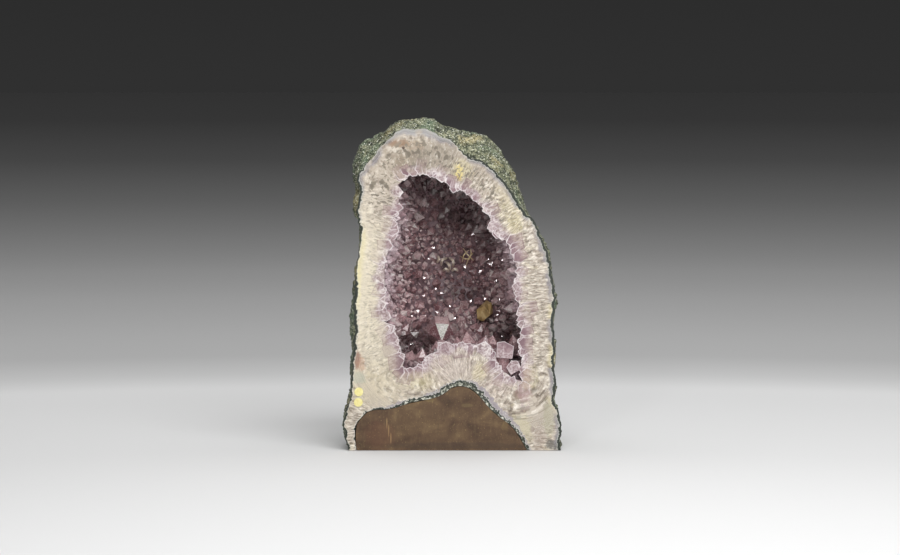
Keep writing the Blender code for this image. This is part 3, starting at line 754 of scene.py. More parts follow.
def make_skin():
    """Rows from the rear to the sawn edge, columns on the edge's own points and on the table between."""
    hem = np.concatenate([EDGE, np.linspace(EDGE[-1], EDGE[0], 70)[1:-1]])
    bearing = np.unwrap(np.arctan2(hem[:, 0] - HEART[0], hem[:, 1] - HEART[2]))
    least_step = 1e-4 * np.arange(len(hem))
    bearing = np.minimum.accumulate(bearing + least_step) - least_step
    share = (np.arange(1, SKIN_ROWS + 1) / SKIN_ROWS)[:, None]
    points = skin_film(hem, bearing, share)
    floor = points[..., 2] < TABLE_Z
    points = drawn_in(evened(points, floor), bearing, share)
    relief, normal = lumps(points)
    calm = np.clip((1 - share) * SKIN_ROWS / 5, 0, 1) * ~floor * np.clip(points[..., 2] / (4 * MM), 0, 1)
    points = points + normal * (relief * calm)[..., None] * MM
    points[..., 1] = np.maximum(points[..., 1], FRONT_Y + (1 - share) * SKIN_ROWS * 0.1 * MM)
    points[..., 2] = np.where(floor, 0, np.maximum(points[..., 2], 0))
    faces = grid_faces(SKIN_ROWS, len(hem), True)
    off_floor = ~floor.ravel()[faces].all(axis=1)
    first = np.arange(len(hem))
    fan = np.stack([first, np.roll(first, -1), np.full(len(hem), relief.size)], axis=1)
    every = np.concatenate([points.reshape(-1, 3), points[0].mean(axis=0)[None]])
    shown, groups, order = used_only(every, faces[off_floor][:, ::-1], fan)
    skin = new_piece("rock_skin", shown, groups, [SKIN], smooth=True)
    add_values(skin, "relief", np.clip(np.append(relief.ravel(), 0)[order] / 5 + 0.5, 0, 1))


make_skin()

# %% [markdown]
# ## The amethyst
# The hollow is lined with six-sided quartz points. Most show only their pyramids, because their feet grew
# into each other. One crust with a bumpy picture would look dead, so every point is its own closed body
# of thirteen flat faces, thousands of them in one mesh, on a dark bed that follows the hollow. The points
# are coloured most near their tips and milky at the foot. They let light in, which is why a druse glows.

# %% The amethyst's materials
def amethyst():
    """Natural crystal faces: glassy, a little see-through, mauve to brownish purple, milky at the foot, and
    darkened in listed zones by painted shade of the hollow's top and deep corners, with some smoky colour.
    """
    material, tree, shader = new_material("amethyst points")
    place = add(tree, "TexCoord").outputs["Object"]
    tip, tone, pale, smoke_and_shade = stored(tree, "tip", "tone", "pale", "smoke_and_shade")
    veils = grain(tree, place, 2.2, 3, warp=0.8)
    mottle = grain(tree, place, 1.1, 2, roughness=0.6)
    colour = add(
        tree, "ValToRGB", {"Fac": tone},
        # tone 1, the last stop, is the painted reflection of the key light on the glare point's mirroring
        # face
        ((0.0, "#855c5f"), (0.3, "#b38a8c"), (0.6, "#d7b6b6"), (0.92, "#f5e7e3"), (1.0, "#a3a194")),
    ).outputs["Color"]
    colour = layered(tree, colour, (
        (veils.mask(0.53, 0.7) * 0.55, srgb("#dcc8cb")),
        (veils.mask(0.47, 0.32) * 0.55, srgb("#6b4752")),
        (mottle.mask(0.56, 0.7) * 0.45, srgb("#eadfdf")),
        (mottle.mask(0.45, 0.32) * 0.5, srgb("#5a3c48")),
        (tip.mask(0.45, 0.0) * 0.3, srgb("#ac989c")),
        (pale * 0.85, srgb("#e3d2da")),
        # painted shade of the hollow's top and deep corners, with some smoky colour of the quartz
        (smoke_and_shade * 0.97, srgb("#2b1b1c")),
    ))
    bump = add(tree, "Bump", {"Height": veils, "Strength": 0.25, "Distance": 0.3 * MM}).outputs["Normal"]
    feed(shader, {
        "Base Color": colour, "Normal": bump, "Roughness": 0.1, "IOR": 1.544, "Transmission Weight": 0.22,
    })
    return material


def shaded_druse_bed():
    """The grown-together feet of the points: dull brownish purple, darkened as painted shade between them."""
    material, tree, shader = new_material("grown-together amethyst feet")
    place = add(tree, "TexCoord").outputs["Object"]
    # dull brownish purple, darker than the points as painted shade in the gaps between their feet
    colour = add(
        tree, "ValToRGB", {"Fac": grain(tree, place, 4, 3)},
        ((0.3, "#4a383c"), (0.5, "#6b555a"), (0.7, "#8d757a")),
    ).outputs["Color"]
    feed(shader, {"Base Color": colour, "Roughness": 0.4})
    return material


AMETHYST, SHADED_BED = amethyst(), shaded_druse_bed()

# %% The hollow's surface
HOLLOW_AXIS = np.array([2, 150]) * MM
DRUSE_DEPTH = 101 * MM
HOLLOW_POWER = 2.3
RIM_BLEND = math.radians(7)  # depth angle over which the teeth of the rim even out
BED_ROWS, BED_COLUMNS = 64, 300


def cup(turn, angle, outline=RIM):
    """Points of the hollow by turn round the rim (0 to 1) and depth angle: its sections shrink with the
    cosine of the angle and its depth grows with the sine, both raised to the power 2 / HOLLOW_POWER."""
    closed = np.concatenate([outline, outline[:1]])
    place = np.asarray(turn, float) % 1 * len(outline)
    edge = np.stack([np.interp(place, np.arange(len(closed)), closed[:, k]) for k in range(2)], axis=-1)
    size = np.abs(np.cos(angle)) ** (2 / HOLLOW_POWER)
    deep = np.abs(np.sin(angle)) ** (2 / HOLLOW_POWER)
    flat = HOLLOW_AXIS + (edge - HOLLOW_AXIS) * size[..., None]
    return np.stack([flat[..., 0], FRONT_Y + DRUSE_DEPTH * deep, flat[..., 1]], axis=-1)


def into_hollow(turn, angle):
    """Unit directions square to the hollow's surface, towards its inside."""
    step = 0.02
    lean = np.clip(angle, step, math.pi / 2 - 2 * step)
    across = cup(turn + step, lean) - cup(turn - step, lean)
    back = cup(turn, lean + step) - cup(turn, lean - step)
    normal = unit(np.cross(across, back))
    middle = np.array([HOLLOW_AXIS[0], FRONT_Y + DRUSE_DEPTH / 3, HOLLOW_AXIS[1]])
    return normal * np.sign(((middle - cup(turn, lean)) * normal).sum(axis=-1))[..., None]


def make_bed():
    """A grid over the hollow from the teeth back, uneven by a millimetre or two."""
    turn = np.linspace(0, 1, BED_COLUMNS, endpoint=False)[None, :]
    angle = (np.linspace(0, 1, BED_ROWS) ** 1.15 * (math.pi / 2 - 0.01))[:, None]
    blend = np.clip(angle / RIM_BLEND, 0, 1)[..., None]
    turns, angles = np.broadcast_arrays(turn, angle)
    points = cup(turns, angles, TEETH) * (1 - blend) + cup(turns, angles) * blend
    uneven = lattice_noise(points, 9 * MM, 71) * 1.2 + lattice_noise(points, 4 * MM, 72) * 0.8
    points = points - into_hollow(turns, angles) * ((uneven + 0.5) * blend[..., 0])[..., None] * MM
    points[0, :, 1] = FRONT_Y
    last = np.arange(BED_COLUMNS) + (BED_ROWS - 1) * BED_COLUMNS
    fan = np.stack([last, np.roll(last, -1), np.full(BED_COLUMNS, BED_ROWS * BED_COLUMNS)], axis=1)
    every = np.concatenate([points.reshape(-1, 3), points[-1].mean(axis=0)[None]])
    faces = [grid_faces(BED_ROWS, BED_COLUMNS, True), fan]
    new_piece("shaded_druse_bed", every, faces, [SHADED_BED], smooth=True)


make_bed()

# %% [markdown]
# Where the points stand is a packing problem: large ones first, then the next size in the room that is
# left, then small ones in the gaps. A few that the photograph shows are listed one by one.

# %% Where the points stand
# Points given one by one: x and z of the tip, its depth behind the face, its lean, radius and prism, in mm
CHOSEN_POINTS = (
    (15.5, 107.5, 17, (0.05, -0.15, 1.0), 12.5, 4), (46, 98.5, 9, (0.02, 0.05, 1.0), 8.6, 12),
    (3, 103, 12, (-0.2, -0.1, 1.0), 7, 4), (-27, 92, 14, (0.1, -0.1, 1.0), 7, 4),
    (30, 104, 12, (0.15, -0.2, 1.0), 7, 4), (-9.3, 96.5, 33, (0.07, -0.93, -0.34), 12.5, 6),
    (38, 103, 20, (0.2, -0.3, 1.0), 6, 6), (-14, 99, 15, (-0.1, -0.2, 1.0), 6, 5),
    (54, 104, 14, (-0.3, -0.3, 0.8), 6, 5), (-36, 90, 12, (0.3, -0.2, 0.8), 6, 5),
)
CHOSEN_LEAN = unit(np.array([point[3] for point in CHOSEN_POINTS]))
CHOSEN_TIPS = np.array([(x, FRONT_Y / MM + deep, z) for x, z, deep, *_ in CHOSEN_POINTS]) * MM
CHOSEN_RADIUS, CHOSEN_PRISM = np.array([point[4:] for point in CHOSEN_POINTS]).T * MM
CHOSEN = slice(-len(CHOSEN_POINTS), None)  # they are the last ones of the druse
# The glare point below mirrors the key light with one face, which is also coloured pale grey as a painted
# reflection.
GLARE_POINT = 5 - len(CHOSEN_POINTS)  # the one of them whose upper face mirrors the key light
SIZES = ((320, 3.6, 5.2), (6400, 2.1, 3.3), (48000, 1.2, 2.0))  # tries, least and most radius in mm
ROOM = 0.86  # neighbours grow into each other: their feet are nearer than their radii by this factor
CALCITE_ROOM = 9 * MM
CALCITE = np.array([31, 8, 120]) * MM
# Where small faces flash in the photograph, in its pixels
GLINTS = (
    (414.7, 220.4), (404, 249), (404, 255.6), (387.7, 253), (505.5, 257.7), (502, 261), (481, 271.4),
    (465.7, 269), (435.6, 285.7), (438.2, 294), (421.8, 294.4), (402, 296), (396.3, 298), (501, 298.8),
    (471.3, 302), (513, 293), (515.7, 270.4), (516.7, 331), (461, 347.4), (506, 274.5), (430, 262),
    (390, 287), (397, 312), (391, 320), (420, 311), (448, 303), (483, 301), (495, 283), (508, 311),
    (404, 351), (409, 239), (432, 248), (455, 318), (399, 270), (489, 262), (424, 276), (412, 318),
    (496, 314), (436, 309),
)
# Where the druse is darkened, as it is seen on the face: painted shade of the hollow's top and deep corners,
# with some smoky colour of the quartz. x, z, half width, half height in mm, strength
SMOKE_AND_SHADE = (
    (-16, 240, 40, 18, 0.9), (12, 218, 34, 26, 0.95), (30, 198, 15, 24, 0.8), (8, 145, 22, 9, 0.55),
    (-38, 98, 20, 18, 0.9), (52, 106, 12, 18, 0.85), (-20, 92, 20, 9, 0.8), (-28, 146, 10, 7, 0.2),
    (18, 118, 16, 9, 0.3), (42, 100, 12, 9, 0.6), (-6, 110, 22, 10, 0.7), (26, 104, 16, 8, 0.5),
)
# Where cream minerals powder the druse: x, z and reach in mm
CREAMY = ((-5, 171, 9), (2, 166, 6), (14, 176, 5))


def seen(points):
    """The places on the sawn face, x and z, that hide points behind it from the camera."""
    deep = points[:, 1] - FRONT_Y
    nearer = CAMERA_FAR / (CAMERA_FAR + deep)
    x = AIM[0] + (points[:, 0] - AIM[0]) * nearer
    z = AIM[2] + (points[:, 2] + deep * math.tan(CAMERA_DOWN) - AIM[2]) * nearer
    return np.stack([x, z], axis=1)


def turned_to(lamp, tips, axis, radius, height):
    """New axes and side directions with which one face of each tip mirrors a lamp to the camera.

    The face's normal is the middle between the ways to lamp and camera. It leans from the crystal's axis
    by the angle whose tangent is the tip's height over the radius of the hexagon's flat sides."""
    middle = unit(unit(lamp - tips) + unit(np.array(CAMERA_AT) - tips))
    across = unit(axis - (axis * middle).sum(axis=1)[:, None] * middle)
    lean = np.arctan2(height, radius * math.cos(math.pi / 6))[:, None]
    new_axis = middle * np.cos(lean) + across * np.sin(lean)
    outward = (middle - new_axis * np.cos(lean)) / np.sin(lean)
    side = outward * math.cos(math.pi / 6) - np.cross(new_axis, outward) * math.sin(math.pi / 6)
    return new_axis, side


def stand_points():
    """Turn, depth angle and radius of each point: a try stands if no other is nearer than their radii."""
    chance = np.random.default_rng(17)
    taken = CHOSEN_RADIUS.tolist()
    roots = CHOSEN_TIPS - CHOSEN_LEAN * CHOSEN_RADIUS[:, None]
    stood = []
    for tries, least, most in SIZES:
        turn = chance.random(tries)
        angle = np.maximum(np.arcsin(chance.random(tries) ** 0.8), 0.05)
        radius = chance.uniform(least, most, tries) * MM
        for spot, t, a, r in zip(cup(turn, angle), turn, angle, radius):
            near = np.linalg.norm(roots - spot, axis=1) < ROOM * (np.array(taken) + r)
            if near.any() or np.linalg.norm(spot - CALCITE) < CALCITE_ROOM + r:
                continue
            roots = np.concatenate([roots, spot[None]])
            stood.append((t, a, r))
            taken.append(r)
    return np.array(stood).T


def crystal_points(foot, axis, radius, prism, tip_height, side, wild, chance):
    """Corners of six-sided points: a hexagon at the foot, one at the shoulder and the tip.

    Real hexagons are uneven, so where wild is 1 each corner has its own radius and the tip stands off
    the middle."""
    count = len(foot)
    side = unit(side - (side * axis).sum(axis=1)[:, None] * axis)
    third = np.cross(axis, side)
    wild = wild[:, None]
    around = np.arange(6) * math.pi / 3
    uneven = radius[:, None] * (1 + wild * chance.uniform(-0.16, 0.14, (count, 6)))
    ring = (np.cos(around) * uneven)[..., None] * side[:, None]
    ring += (np.sin(around) * uneven)[..., None] * third[:, None]
    low = foot[:, None] + ring
    shoulder = prism[:, None] + radius[:, None] * wild * chance.uniform(-0.16, 0.16, (count, 6))
    high = foot[:, None] + ring + axis[:, None] * shoulder[..., None]
    drift = (side * chance.normal(0, 0.16, (count, 1)) + third * chance.normal(0, 0.16, (count, 1))) * wild
    top = foot + axis * (prism + tip_height)[:, None] + drift * radius[:, None]
    return np.concatenate([low, high, top[:, None]], axis=1)


POINT_CORNERS = 13
POINT_FACES = (
    np.array([(k, (k + 1) % 6, 6 + (k + 1) % 6, 6 + k) for k in range(6)]),  # the prism's sides
    np.array([(6 + k, 6 + (k + 1) % 6, 12) for k in range(6)]),  # the tip
    np.array([(5, 4, 3, 2, 1, 0)]),  # the foot
)


def repeated(faces, count, corners):
    """The faces of one crystal repeated for each of so many, which have so many corners each."""
    step = (np.arange(count) * corners)[:, None, None]
    return [(part + step).reshape(-1, part.shape[1]) for part in faces]


def shaped_points(chance):
    """Tips of all points, and their feet, axes, radii, prisms, tip heights, side directions and wildness.

    The points that stand at a glint or are the glare point turn a face to their lamp, about their tip."""
    turn, angle, radius = stand_points()
    inward = into_hollow(turn, angle)
    axis = unit(inward + chance.normal(0, 0.26, inward.shape))
    prism = radius * chance.uniform(0.5, 1.3, len(radius))
    height = radius * chance.uniform(1.0, 1.35, len(radius))
    foot = cup(turn, angle) - inward * 2.2 * MM
    chosen_prism, chosen_height = CHOSEN_PRISM + 8 * MM, CHOSEN_RADIUS * 1.1
    chosen_foot = CHOSEN_TIPS - CHOSEN_LEAN * (chosen_prism + chosen_height)[:, None]
    foot, axis, radius, prism, height = (np.concatenate(pair) for pair in (
        (foot, chosen_foot), (axis, CHOSEN_LEAN), (radius, CHOSEN_RADIUS), (prism, chosen_prism),
        (height, chosen_height),
    ))
    side = chance.normal(size=(len(foot), 3))
    wild = np.ones(len(foot))
    tips = foot + axis * (prism + height)[:, None]
    found = seen(tips)[:-len(CHOSEN_POINTS)]
    flashes = (np.array(GLINTS) - PIXEL_ORIGIN) * [PIXEL, -PIXEL]
    lit = np.unique([np.linalg.norm(found - spot, axis=1).argmin() for spot in flashes])
    radius[lit] = np.clip(radius[lit], 1.2 * MM, 2.2 * MM)
    height[lit] = radius[lit] * 1.05
    for lamp, which, longer in ((SPARKLE_AT, lit, 1.5 * MM), (KEY_AT, np.array([GLARE_POINT]), 0)):
        axis[which], side[which] = turned_to(lamp, tips[which], axis[which], radius[which], height[which])
        foot[which] = tips[which] - axis[which] * (prism + height)[which][:, None]
        prism[which] += longer
        wild[which] = 0
    return tips, foot, axis, radius, prism, height, side, wild


def pale_smoke_and_shade(front, chance):
    """How pale and how dark each point is, by where it is seen on the face: pale next to the rim and in the
    listed creamy zones, and darker in the listed dark zones, which are painted shade with some smoky colour."""
    from_rim = np.where(inside(front, RIM[::4]), nearest(front, RIM)[0], 0) / MM
    pale = np.clip(1.2 - from_rim / 17, 0, 1) ** 1.4 * chance.uniform(0.4, 1, len(front))
    pale *= np.interp(front[:, 1] / MM, (110, 140, 205, 232), (0.55, 1, 1, 0.45))
    smoke_and_shade = np.zeros(len(front))
    # the dark zones: painted shade, with some smoky colour of the quartz
    for x, z, wide, high, strength in SMOKE_AND_SHADE:
        far = np.hypot((front[:, 0] / MM - x) / wide, (front[:, 1] / MM - z) / high)
        smoke_and_shade = np.maximum(smoke_and_shade, strength * np.clip(1.6 - 1.2 * far, 0, 1))
    pale *= 1 - 0.9 * smoke_and_shade
    for x, z, reach in CREAMY:
        far = np.hypot(*(front - np.array([x, z]) * MM).T) / (reach * MM)
        pale = np.maximum(pale, 0.75 * np.clip(1.5 - 1.5 * far, 0, 1))
    smoke_and_shade *= chance.uniform(0.75, 1, len(front))
    pale[CHOSEN] *= 0.4
    smoke_and_shade[CHOSEN] *= 0.4
    pale[GLARE_POINT] = 0
    return pale, smoke_and_shade


def make_points():
    """Every point of the druse as one mesh; what would pass the saw plane is cut off flat there."""
    chance = np.random.default_rng(23)
    tips, *shape = shaped_points(chance)
    count = len(tips)
    points = crystal_points(*shape, chance)
    points[..., 1] = np.maximum(points[..., 1], FRONT_Y + 0.2 * MM)
    faces = repeated(POINT_FACES, count, POINT_CORNERS)
    druse = new_piece("amethyst_points", points, faces, [AMETHYST])
    pale, smoke_and_shade = pale_smoke_and_shade(seen(tips), chance)
    add_values(druse, "tip", np.tile(np.repeat((0.0, 0.55, 1.0), (6, 6, 1)), count))
    add_values(druse, "pale", np.repeat(pale, POINT_CORNERS))
    add_values(druse, "smoke_and_shade", np.repeat(smoke_and_shade, POINT_CORNERS))
    own = chance.uniform(0.12, 0.8, count)
    own[CHOSEN] = 0.4
    own[GLARE_POINT] = 0.15
    tones = [np.repeat(own, len(part)) + 0.18 * chance.normal(size=count * len(part)) for part in POINT_FACES]
    tones = [np.clip(part, 0, 0.92) for part in tones]
    # painted reflection: the glare point's mirroring face gets tone 1, a pale grey, as if it showed the key
    # light
    tones[1][GLARE_POINT * len(POINT_FACES[1])] = 1
    add_values(druse, "tone", np.concatenate(tones), "FACE")
    return druse


amethyst_points = make_points()
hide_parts("amethyst_crust")

# %% [markdown]
# At the rim the saw went through the points that lie in its plane. Each shows a flat cut with a bright
# outline, like a small gable, and half a crystal behind it. They are made as half hexagons whose flat
# side lies on the face, each a hair prouder than the last so that no two cuts share a plane.

# %% Sawn points of the rim
RIM_POINTS = 125
# Large ones given one by one: x and z of the tip in mm, direction in degrees (0 right, 90 up), radius, tip
# height and length in mm, and how violet the cut is
RIM_CHOSEN = (
    (-43.9, 234.7, -5, 4.4, 3.6, 9, 0.2), (-19.7, 248.0, -88, 4.6, 3.0, 8, 0.1),
    (-9.2, 243.4, -95, 4.4, 3.0, 8, 0.1), (-49.2, 206.7, 5, 3.8, 3.4, 8, 0.3),
    (-46.6, 94.6, 18, 5.0, 4.6, 12, 0.4), (-43.0, 82.6, 6, 6.2, 5.0, 10, 0.85),
    (-5.5, 99.6, 92, 7.4, 2.6, 12, 0.5), (-19, 88.6, 104, 6.0, 2.6, 10, 0.2),
    (30.4, 99.6, 90, 8.0, 3.6, 14, 0.0), (47.5, 99.5, 84, 7.6, 2.2, 13, 0.85),
    (60.0, 99.2, 178, 5.4, 4.2, 9, 0.9), (60.6, 69.6, 172, 6.2, 5.0, 10, 0.4),
    (54, 82, 118, 5.8, 3.2, 8, 0.6), (9.5, 99.5, 80, 5.0, 3.0, 9, 0.3),
    (-54.8, 121, -8, 4.4, 3.6, 8, 0.4), (54.4, 150, 170, 4.6, 4.0, 8, 0.4),
    (31.5, 202, 200, 4.4, 3.6, 8, 0.4), (56.5, 163, 190, 4.0, 3.4, 8, 0.5),
)
# Corners 0 to 3 are at the foot, 4 to 7 at the shoulder and 8 is the tip. The cut has its own five
# corners, 9 to 13, and five a little further in, 14 to 18, so that a bright outline fits between.
RIM_CORNERS = 19
GABLE = (0, 4, 8, 7, 3)
RIM_BACKS = (
    np.array([(k, k + 1, 5 + k, 4 + k) for k in range(3)]), np.array([(4 + k, 5 + k, 8) for k in range(3)]),
    np.array([(3, 2, 1, 0)]),
)
RIM_CUTS = (
    np.array([(9 + k, 9 + (k + 1) % 5, 14 + (k + 1) % 5, 14 + k) for k in range(5)]),
    np.array([(14, 15, 16, 17, 18)]),
)


def rim_shapes(chance):
    """Rows of tip x and z, bearing, radius, tip height, length and violet: by chance, then by hand."""
    at = np.sort(chance.choice(len(TEETH), RIM_POINTS, replace=False))
    run = np.roll(RIM, -6, axis=0) - np.roll(RIM, 6, axis=0)
    inward = unit(np.stack([-run[:, 1], run[:, 0]], axis=1))
    inward *= np.sign(((HOLLOW_AXIS - RIM) * inward).sum(axis=1))[:, None]
    bearing = np.arctan2(inward[at, 1], inward[at, 0]) + chance.normal(0, 0.3, RIM_POINTS)
    radius = chance.uniform(2.0, 5.4, RIM_POINTS) * MM
    height = radius * chance.uniform(0.6, 1.15, RIM_POINTS)
    length = radius + chance.uniform(2, 7, RIM_POINTS) * MM
    reach = chance.uniform(-0.8, 2.8, RIM_POINTS) * MM
    tip = TEETH[at] + np.stack([np.cos(bearing), np.sin(bearing)], axis=1) * reach[:, None]
    violet = chance.uniform(0.1, 1.0, RIM_POINTS)
    chosen = np.array(RIM_CHOSEN) * [MM, MM, 1, MM, MM, MM, 1]
    chosen[:, 2] = np.radians(chosen[:, 2])
    return np.concatenate([np.column_stack([tip, bearing, radius, height, length, violet]), chosen])


def make_rim_points():
    """Half crystals along the teeth: the flat cut in front, three sides and three tip faces behind."""
    chance = np.random.default_rng(29)
    shapes = rim_shapes(chance)
    count, tip = len(shapes), shapes[:, :2]
    bearing, radius, height, length, violet = shapes[:, 2:].T
    onward = np.stack([np.cos(bearing), np.sin(bearing)], axis=1)
    across = np.stack([-onward[:, 1], onward[:, 0]], axis=1)
    skew = chance.normal(0, 0.22, count)
    foot = tip - onward * (length + height)[:, None] - across * (skew * radius)[:, None]
    around = np.arange(4) * math.pi / 3
    low = foot[:, None] + across[:, None] * (radius[:, None] * np.cos(around))[..., None]
    uneven = chance.uniform(-0.18, 0.18, (count, 4)) * radius[:, None]
    high = low + onward[:, None] * (length[:, None] + uneven)[..., None]
    flat = np.concatenate([low, high, tip[:, None]], axis=1)
    back = np.append(np.tile(np.sin(around), 2), 0) * radius[:, None]
    proud = FRONT_Y - POLISH - (0.03 + 0.0022 * np.arange(count)) * MM
    points = np.stack([flat[..., 0], proud[:, None] + back, flat[..., 1]], axis=-1)
    gable = points[:, GABLE]
    middle = gable.mean(axis=1, keepdims=True)
    inner = middle + (gable - middle) * np.clip(1 - 0.65 * MM / radius, 0.5, 0.92)[:, None, None]
    every = np.concatenate([points, gable, inner], axis=1)
    faces = repeated(RIM_BACKS + RIM_CUTS, count, RIM_CORNERS)
    piece = new_piece("rim_points", every, faces, [AMETHYST, SAWN])
    finish = np.repeat((0, 1), [count * sum(len(part) for part in parts) for parts in (RIM_BACKS, RIM_CUTS)])
    piece.data.polygons.foreach_set("material_index", finish.astype(np.int32))
    bright = np.zeros((count, RIM_CORNERS))
    bright[:, (10, 11, 12)] = 0.8
    tint = violet[:, None] * np.repeat((0, 1, 1, 1, 0), (9, 1, 3, 1, 5))
    tint[:, (15, 16, 17)] = violet[:, None]
    tint[:, (14, 18)] = violet[:, None] * 0.5
    wear(piece, every.reshape(-1, 3)[:, ::2], bright, tint.ravel())
    add_values(piece, "tip", np.tile(np.repeat((0.0, 0.5, 1.0), (4, 4, 11)), count))
    add_values(piece, "pale", np.full(count * RIM_CORNERS, 0.8))
    add_values(piece, "smoke_and_shade", np.zeros(count * RIM_CORNERS))
    add_values(piece, "tone", chance.uniform(0.3, 1.0, len(piece.data.polygons)), "FACE")


make_rim_points()

# %% [markdown]
# A few golden needles lie on the druse, right of its middle, and left of them lie short cream rods. Both
# are tubes along smooth paths whose ends go down between the amethyst tips.

# %% Needles and the cream growth
# Paths in the photograph's pixels
NEEDLES = (
    ((462, 263), (464, 255), (470, 249)), ((463, 248), (468, 255), (476, 263)),
    ((466, 266), (469, 258), (475, 251)), ((460, 256), (466, 259), (473, 257)),
    ((470, 247), (471, 254), (468, 262)),
)
GROWTHS = (
    ((441, 266), (442.5, 260), (447, 258)), ((449, 257.5), (453, 261), (453, 267)),
    ((443, 271), (446, 269), (449, 272)), ((446, 262), (449, 265), (450, 270)),
    ((437, 263), (439, 259), (438, 256)), ((452, 271), (455, 269), (458, 271)),
)
NEEDLE_RADIUS, GROWTH_RADIUS = 0.55 * MM, 1.3 * MM
GROWTH_DEEP, ROOT_DEEP = 83, 98  # depth of the middle of a path and of its ends behind the sawn face, mm


def behind(spots, deep_mm):
    """Points at a depth behind the face that the camera sees in given pixels of the photograph."""
    on_face = (np.array(spots) - PIXEL_ORIGIN) * [PIXEL, -PIXEL] - [AIM[0], AIM[2]]
    deep = np.array(deep_mm) * MM
    on_face = on_face * (1 + deep / CAMERA_FAR)[:, None] + [AIM[0], AIM[2]]
    return np.stack([on_face[:, 0], FRONT_Y + deep, on_face[:, 1] - deep * math.tan(CAMERA_DOWN)], axis=1)


def tube(path, radius, sides=7):
    """Rings of points round a path, thinner towards its ends: their radius is the fourth root of a
    parabola's height."""
    run = unit(np.gradient(path, axis=0))
    across = unit(np.cross(run, (0, 1.0, 0)))
    other = np.cross(run, across)
    share = np.linspace(0, 1, len(path))
    wide = radius * np.maximum(4 * share * (1 - share), 0.004) ** 0.25
    turn = np.arange(sides) * 2 * math.pi / sides
    around = across[:, None] * np.cos(turn)[:, None] + other[:, None] * np.sin(turn)[:, None]
    return path[:, None] + around * wide[:, None, None]


def make_tubes(name, paths, radius, finish):
    """Tubes along paths given in pixels, as one mesh; both ends of each are closed by a flat face."""
    points, quads, caps = [], [], []
    for spots in paths:
        deep = GROWTH_DEEP + (ROOT_DEEP - GROWTH_DEEP) * abs(np.linspace(-1, 1, len(spots))) ** 3
        rings = tube(rounded(behind(spots, deep), 0.9 * MM), radius)
        numbers = np.arange(rings[..., 0].size).reshape(rings.shape[:2]) + sum(len(part) for part in points)
        quads.append(grid_faces(*numbers.shape, True)[:, ::-1] + numbers[0, 0])
        caps.append(np.stack([numbers[0], numbers[-1, ::-1]]))
        points.append(rings.reshape(-1, 3))
    new_piece(name, np.concatenate(points), [*quads, *caps], [finish], smooth=True)


def mineral(name, dark, light, roughness):
    """A small growth of one mineral: a slightly veined colour with a waxy to silky gloss."""
    material, tree, shader = new_material(name)
    veins = grain(tree, add(tree, "TexCoord").outputs["Object"], 1.6, 3, warp=0.5)
    colour = add(tree, "ValToRGB", {"Fac": veins}, ((0.35, dark), (0.65, light))).outputs["Color"]
    feed(shader, {"Base Color": colour, "Roughness": roughness})
    return material


GOLD = mineral("golden goethite needles", "#dcc289", "#fff0cc", 0.3)
CREAM = mineral("cream calcite growth", "#cdb8a2", "#fbf3e6", 0.45)
make_tubes("gold_needles", NEEDLES, NEEDLE_RADIUS, GOLD)
make_tubes("cream_growth", GROWTHS, GROWTH_RADIUS, CREAM)

# %% [markdown]
# ## The small things and the fill
# The calcite crystal, the base fill and the two paper dots already have their right shapes in the frame.
# They only need their finishes: honey calcite with a waxy gloss, blotchy brown cement, and matt paper.

# %% Finishes of the frame's own solids
def calcite():
    """Honey calcite: waxy, a little see-through, yellow-brown with paler veins."""
    material, tree, shader = new_material("honey calcite")
    place = add(tree, "TexCoord").outputs["Object"]
    colour = add(
        tree, "ValToRGB", {"Fac": grain(tree, place, 6, 3, warp=0.7)},
        ((0.3, "#8d7144"), (0.5, "#bc9c68"), (0.7, "#dcc390")),
    ).outputs["Color"]
    feed(shader, {"Base Color": colour, "Roughness": 0.3, "IOR": 1.6, "Transmission Weight": 0.15})
    return material


# Marks on the front of the fill: x, z, half width, half height in mm, colour, strength. The first three
# are a fine yellowish crack, and the last is a dark strip of painted shade along the foot, next to the table.
FILL_MARKS = (
    (-59.2, 25, 0.45, 4.5, "#a5875a", 0.7), (-57.6, 18, 0.5, 5, "#a5875a", 0.7),
    (-55.6, 11, 0.5, 4.5, "#a5875a", 0.7),
    (-66, 14, 12, 12, "#663e2b", 0.3), (-20, 46, 4, 1.6, "#857447", 0.3), (14, 41, 5, 1.4, "#85744a", 0.25),
    # the last one is painted shade along the foot of the fill
    (48, 22, 3, 4, "#8a7647", 0.25), (4, 4, 60, 3, "#3b2b1f", 0.5),
)


def brown_cement():
    """Cast cement stained brown: matt and blotchy, with fine sand, yellow smudges and a pale crack."""
    material, tree, shader = new_material("brown cement fill")
    place = add(tree, "TexCoord").outputs["Object"]
    streaks = grain(tree, place, 1.4, 3, (2, 1, 5), 0.6)
    clouds = grain(tree, place, 16, 4, (1.6, 1, 1), warp=0.6)
    sand = grain(tree, place, 1.3, 2)
    wander = grain(tree, place, 4.5, 3) - 0.5
    colour = add(
        tree, "ValToRGB", {"Fac": clouds},
        ((0.3, "#45301c"), (0.45, "#533c27"), (0.58, "#614a31"), (0.72, "#755f40")),
    ).outputs["Color"]
    colour = layered(tree, colour, (
        (streaks.mask(0.5, 0.75) * 0.2, srgb("#836f4c")),
        (streaks.mask(0.45, 0.28) * 0.25, srgb("#36281b")),
        (sand.mask(0.62, 0.74) * 0.45, srgb("#a08a55")),
    ))
    for x, z, wide, high, code, strength in FILL_MARKS:
        ragged = wander * (1.2 if wide > 1 else 0.5)
        mark = (far_from(tree, place, x, z, wide, high) + ragged).mask(1.4, 0.7)
        colour = layered(tree, colour, ((mark * strength, srgb(code)),))
    bump = add(tree, "Bump", {"Height": streaks, "Strength": 0.25, "Distance": 0.3 * MM}).outputs["Normal"]
    feed(shader, {"Base Color": colour, "Normal": bump, "Roughness": 0.62})
    return material


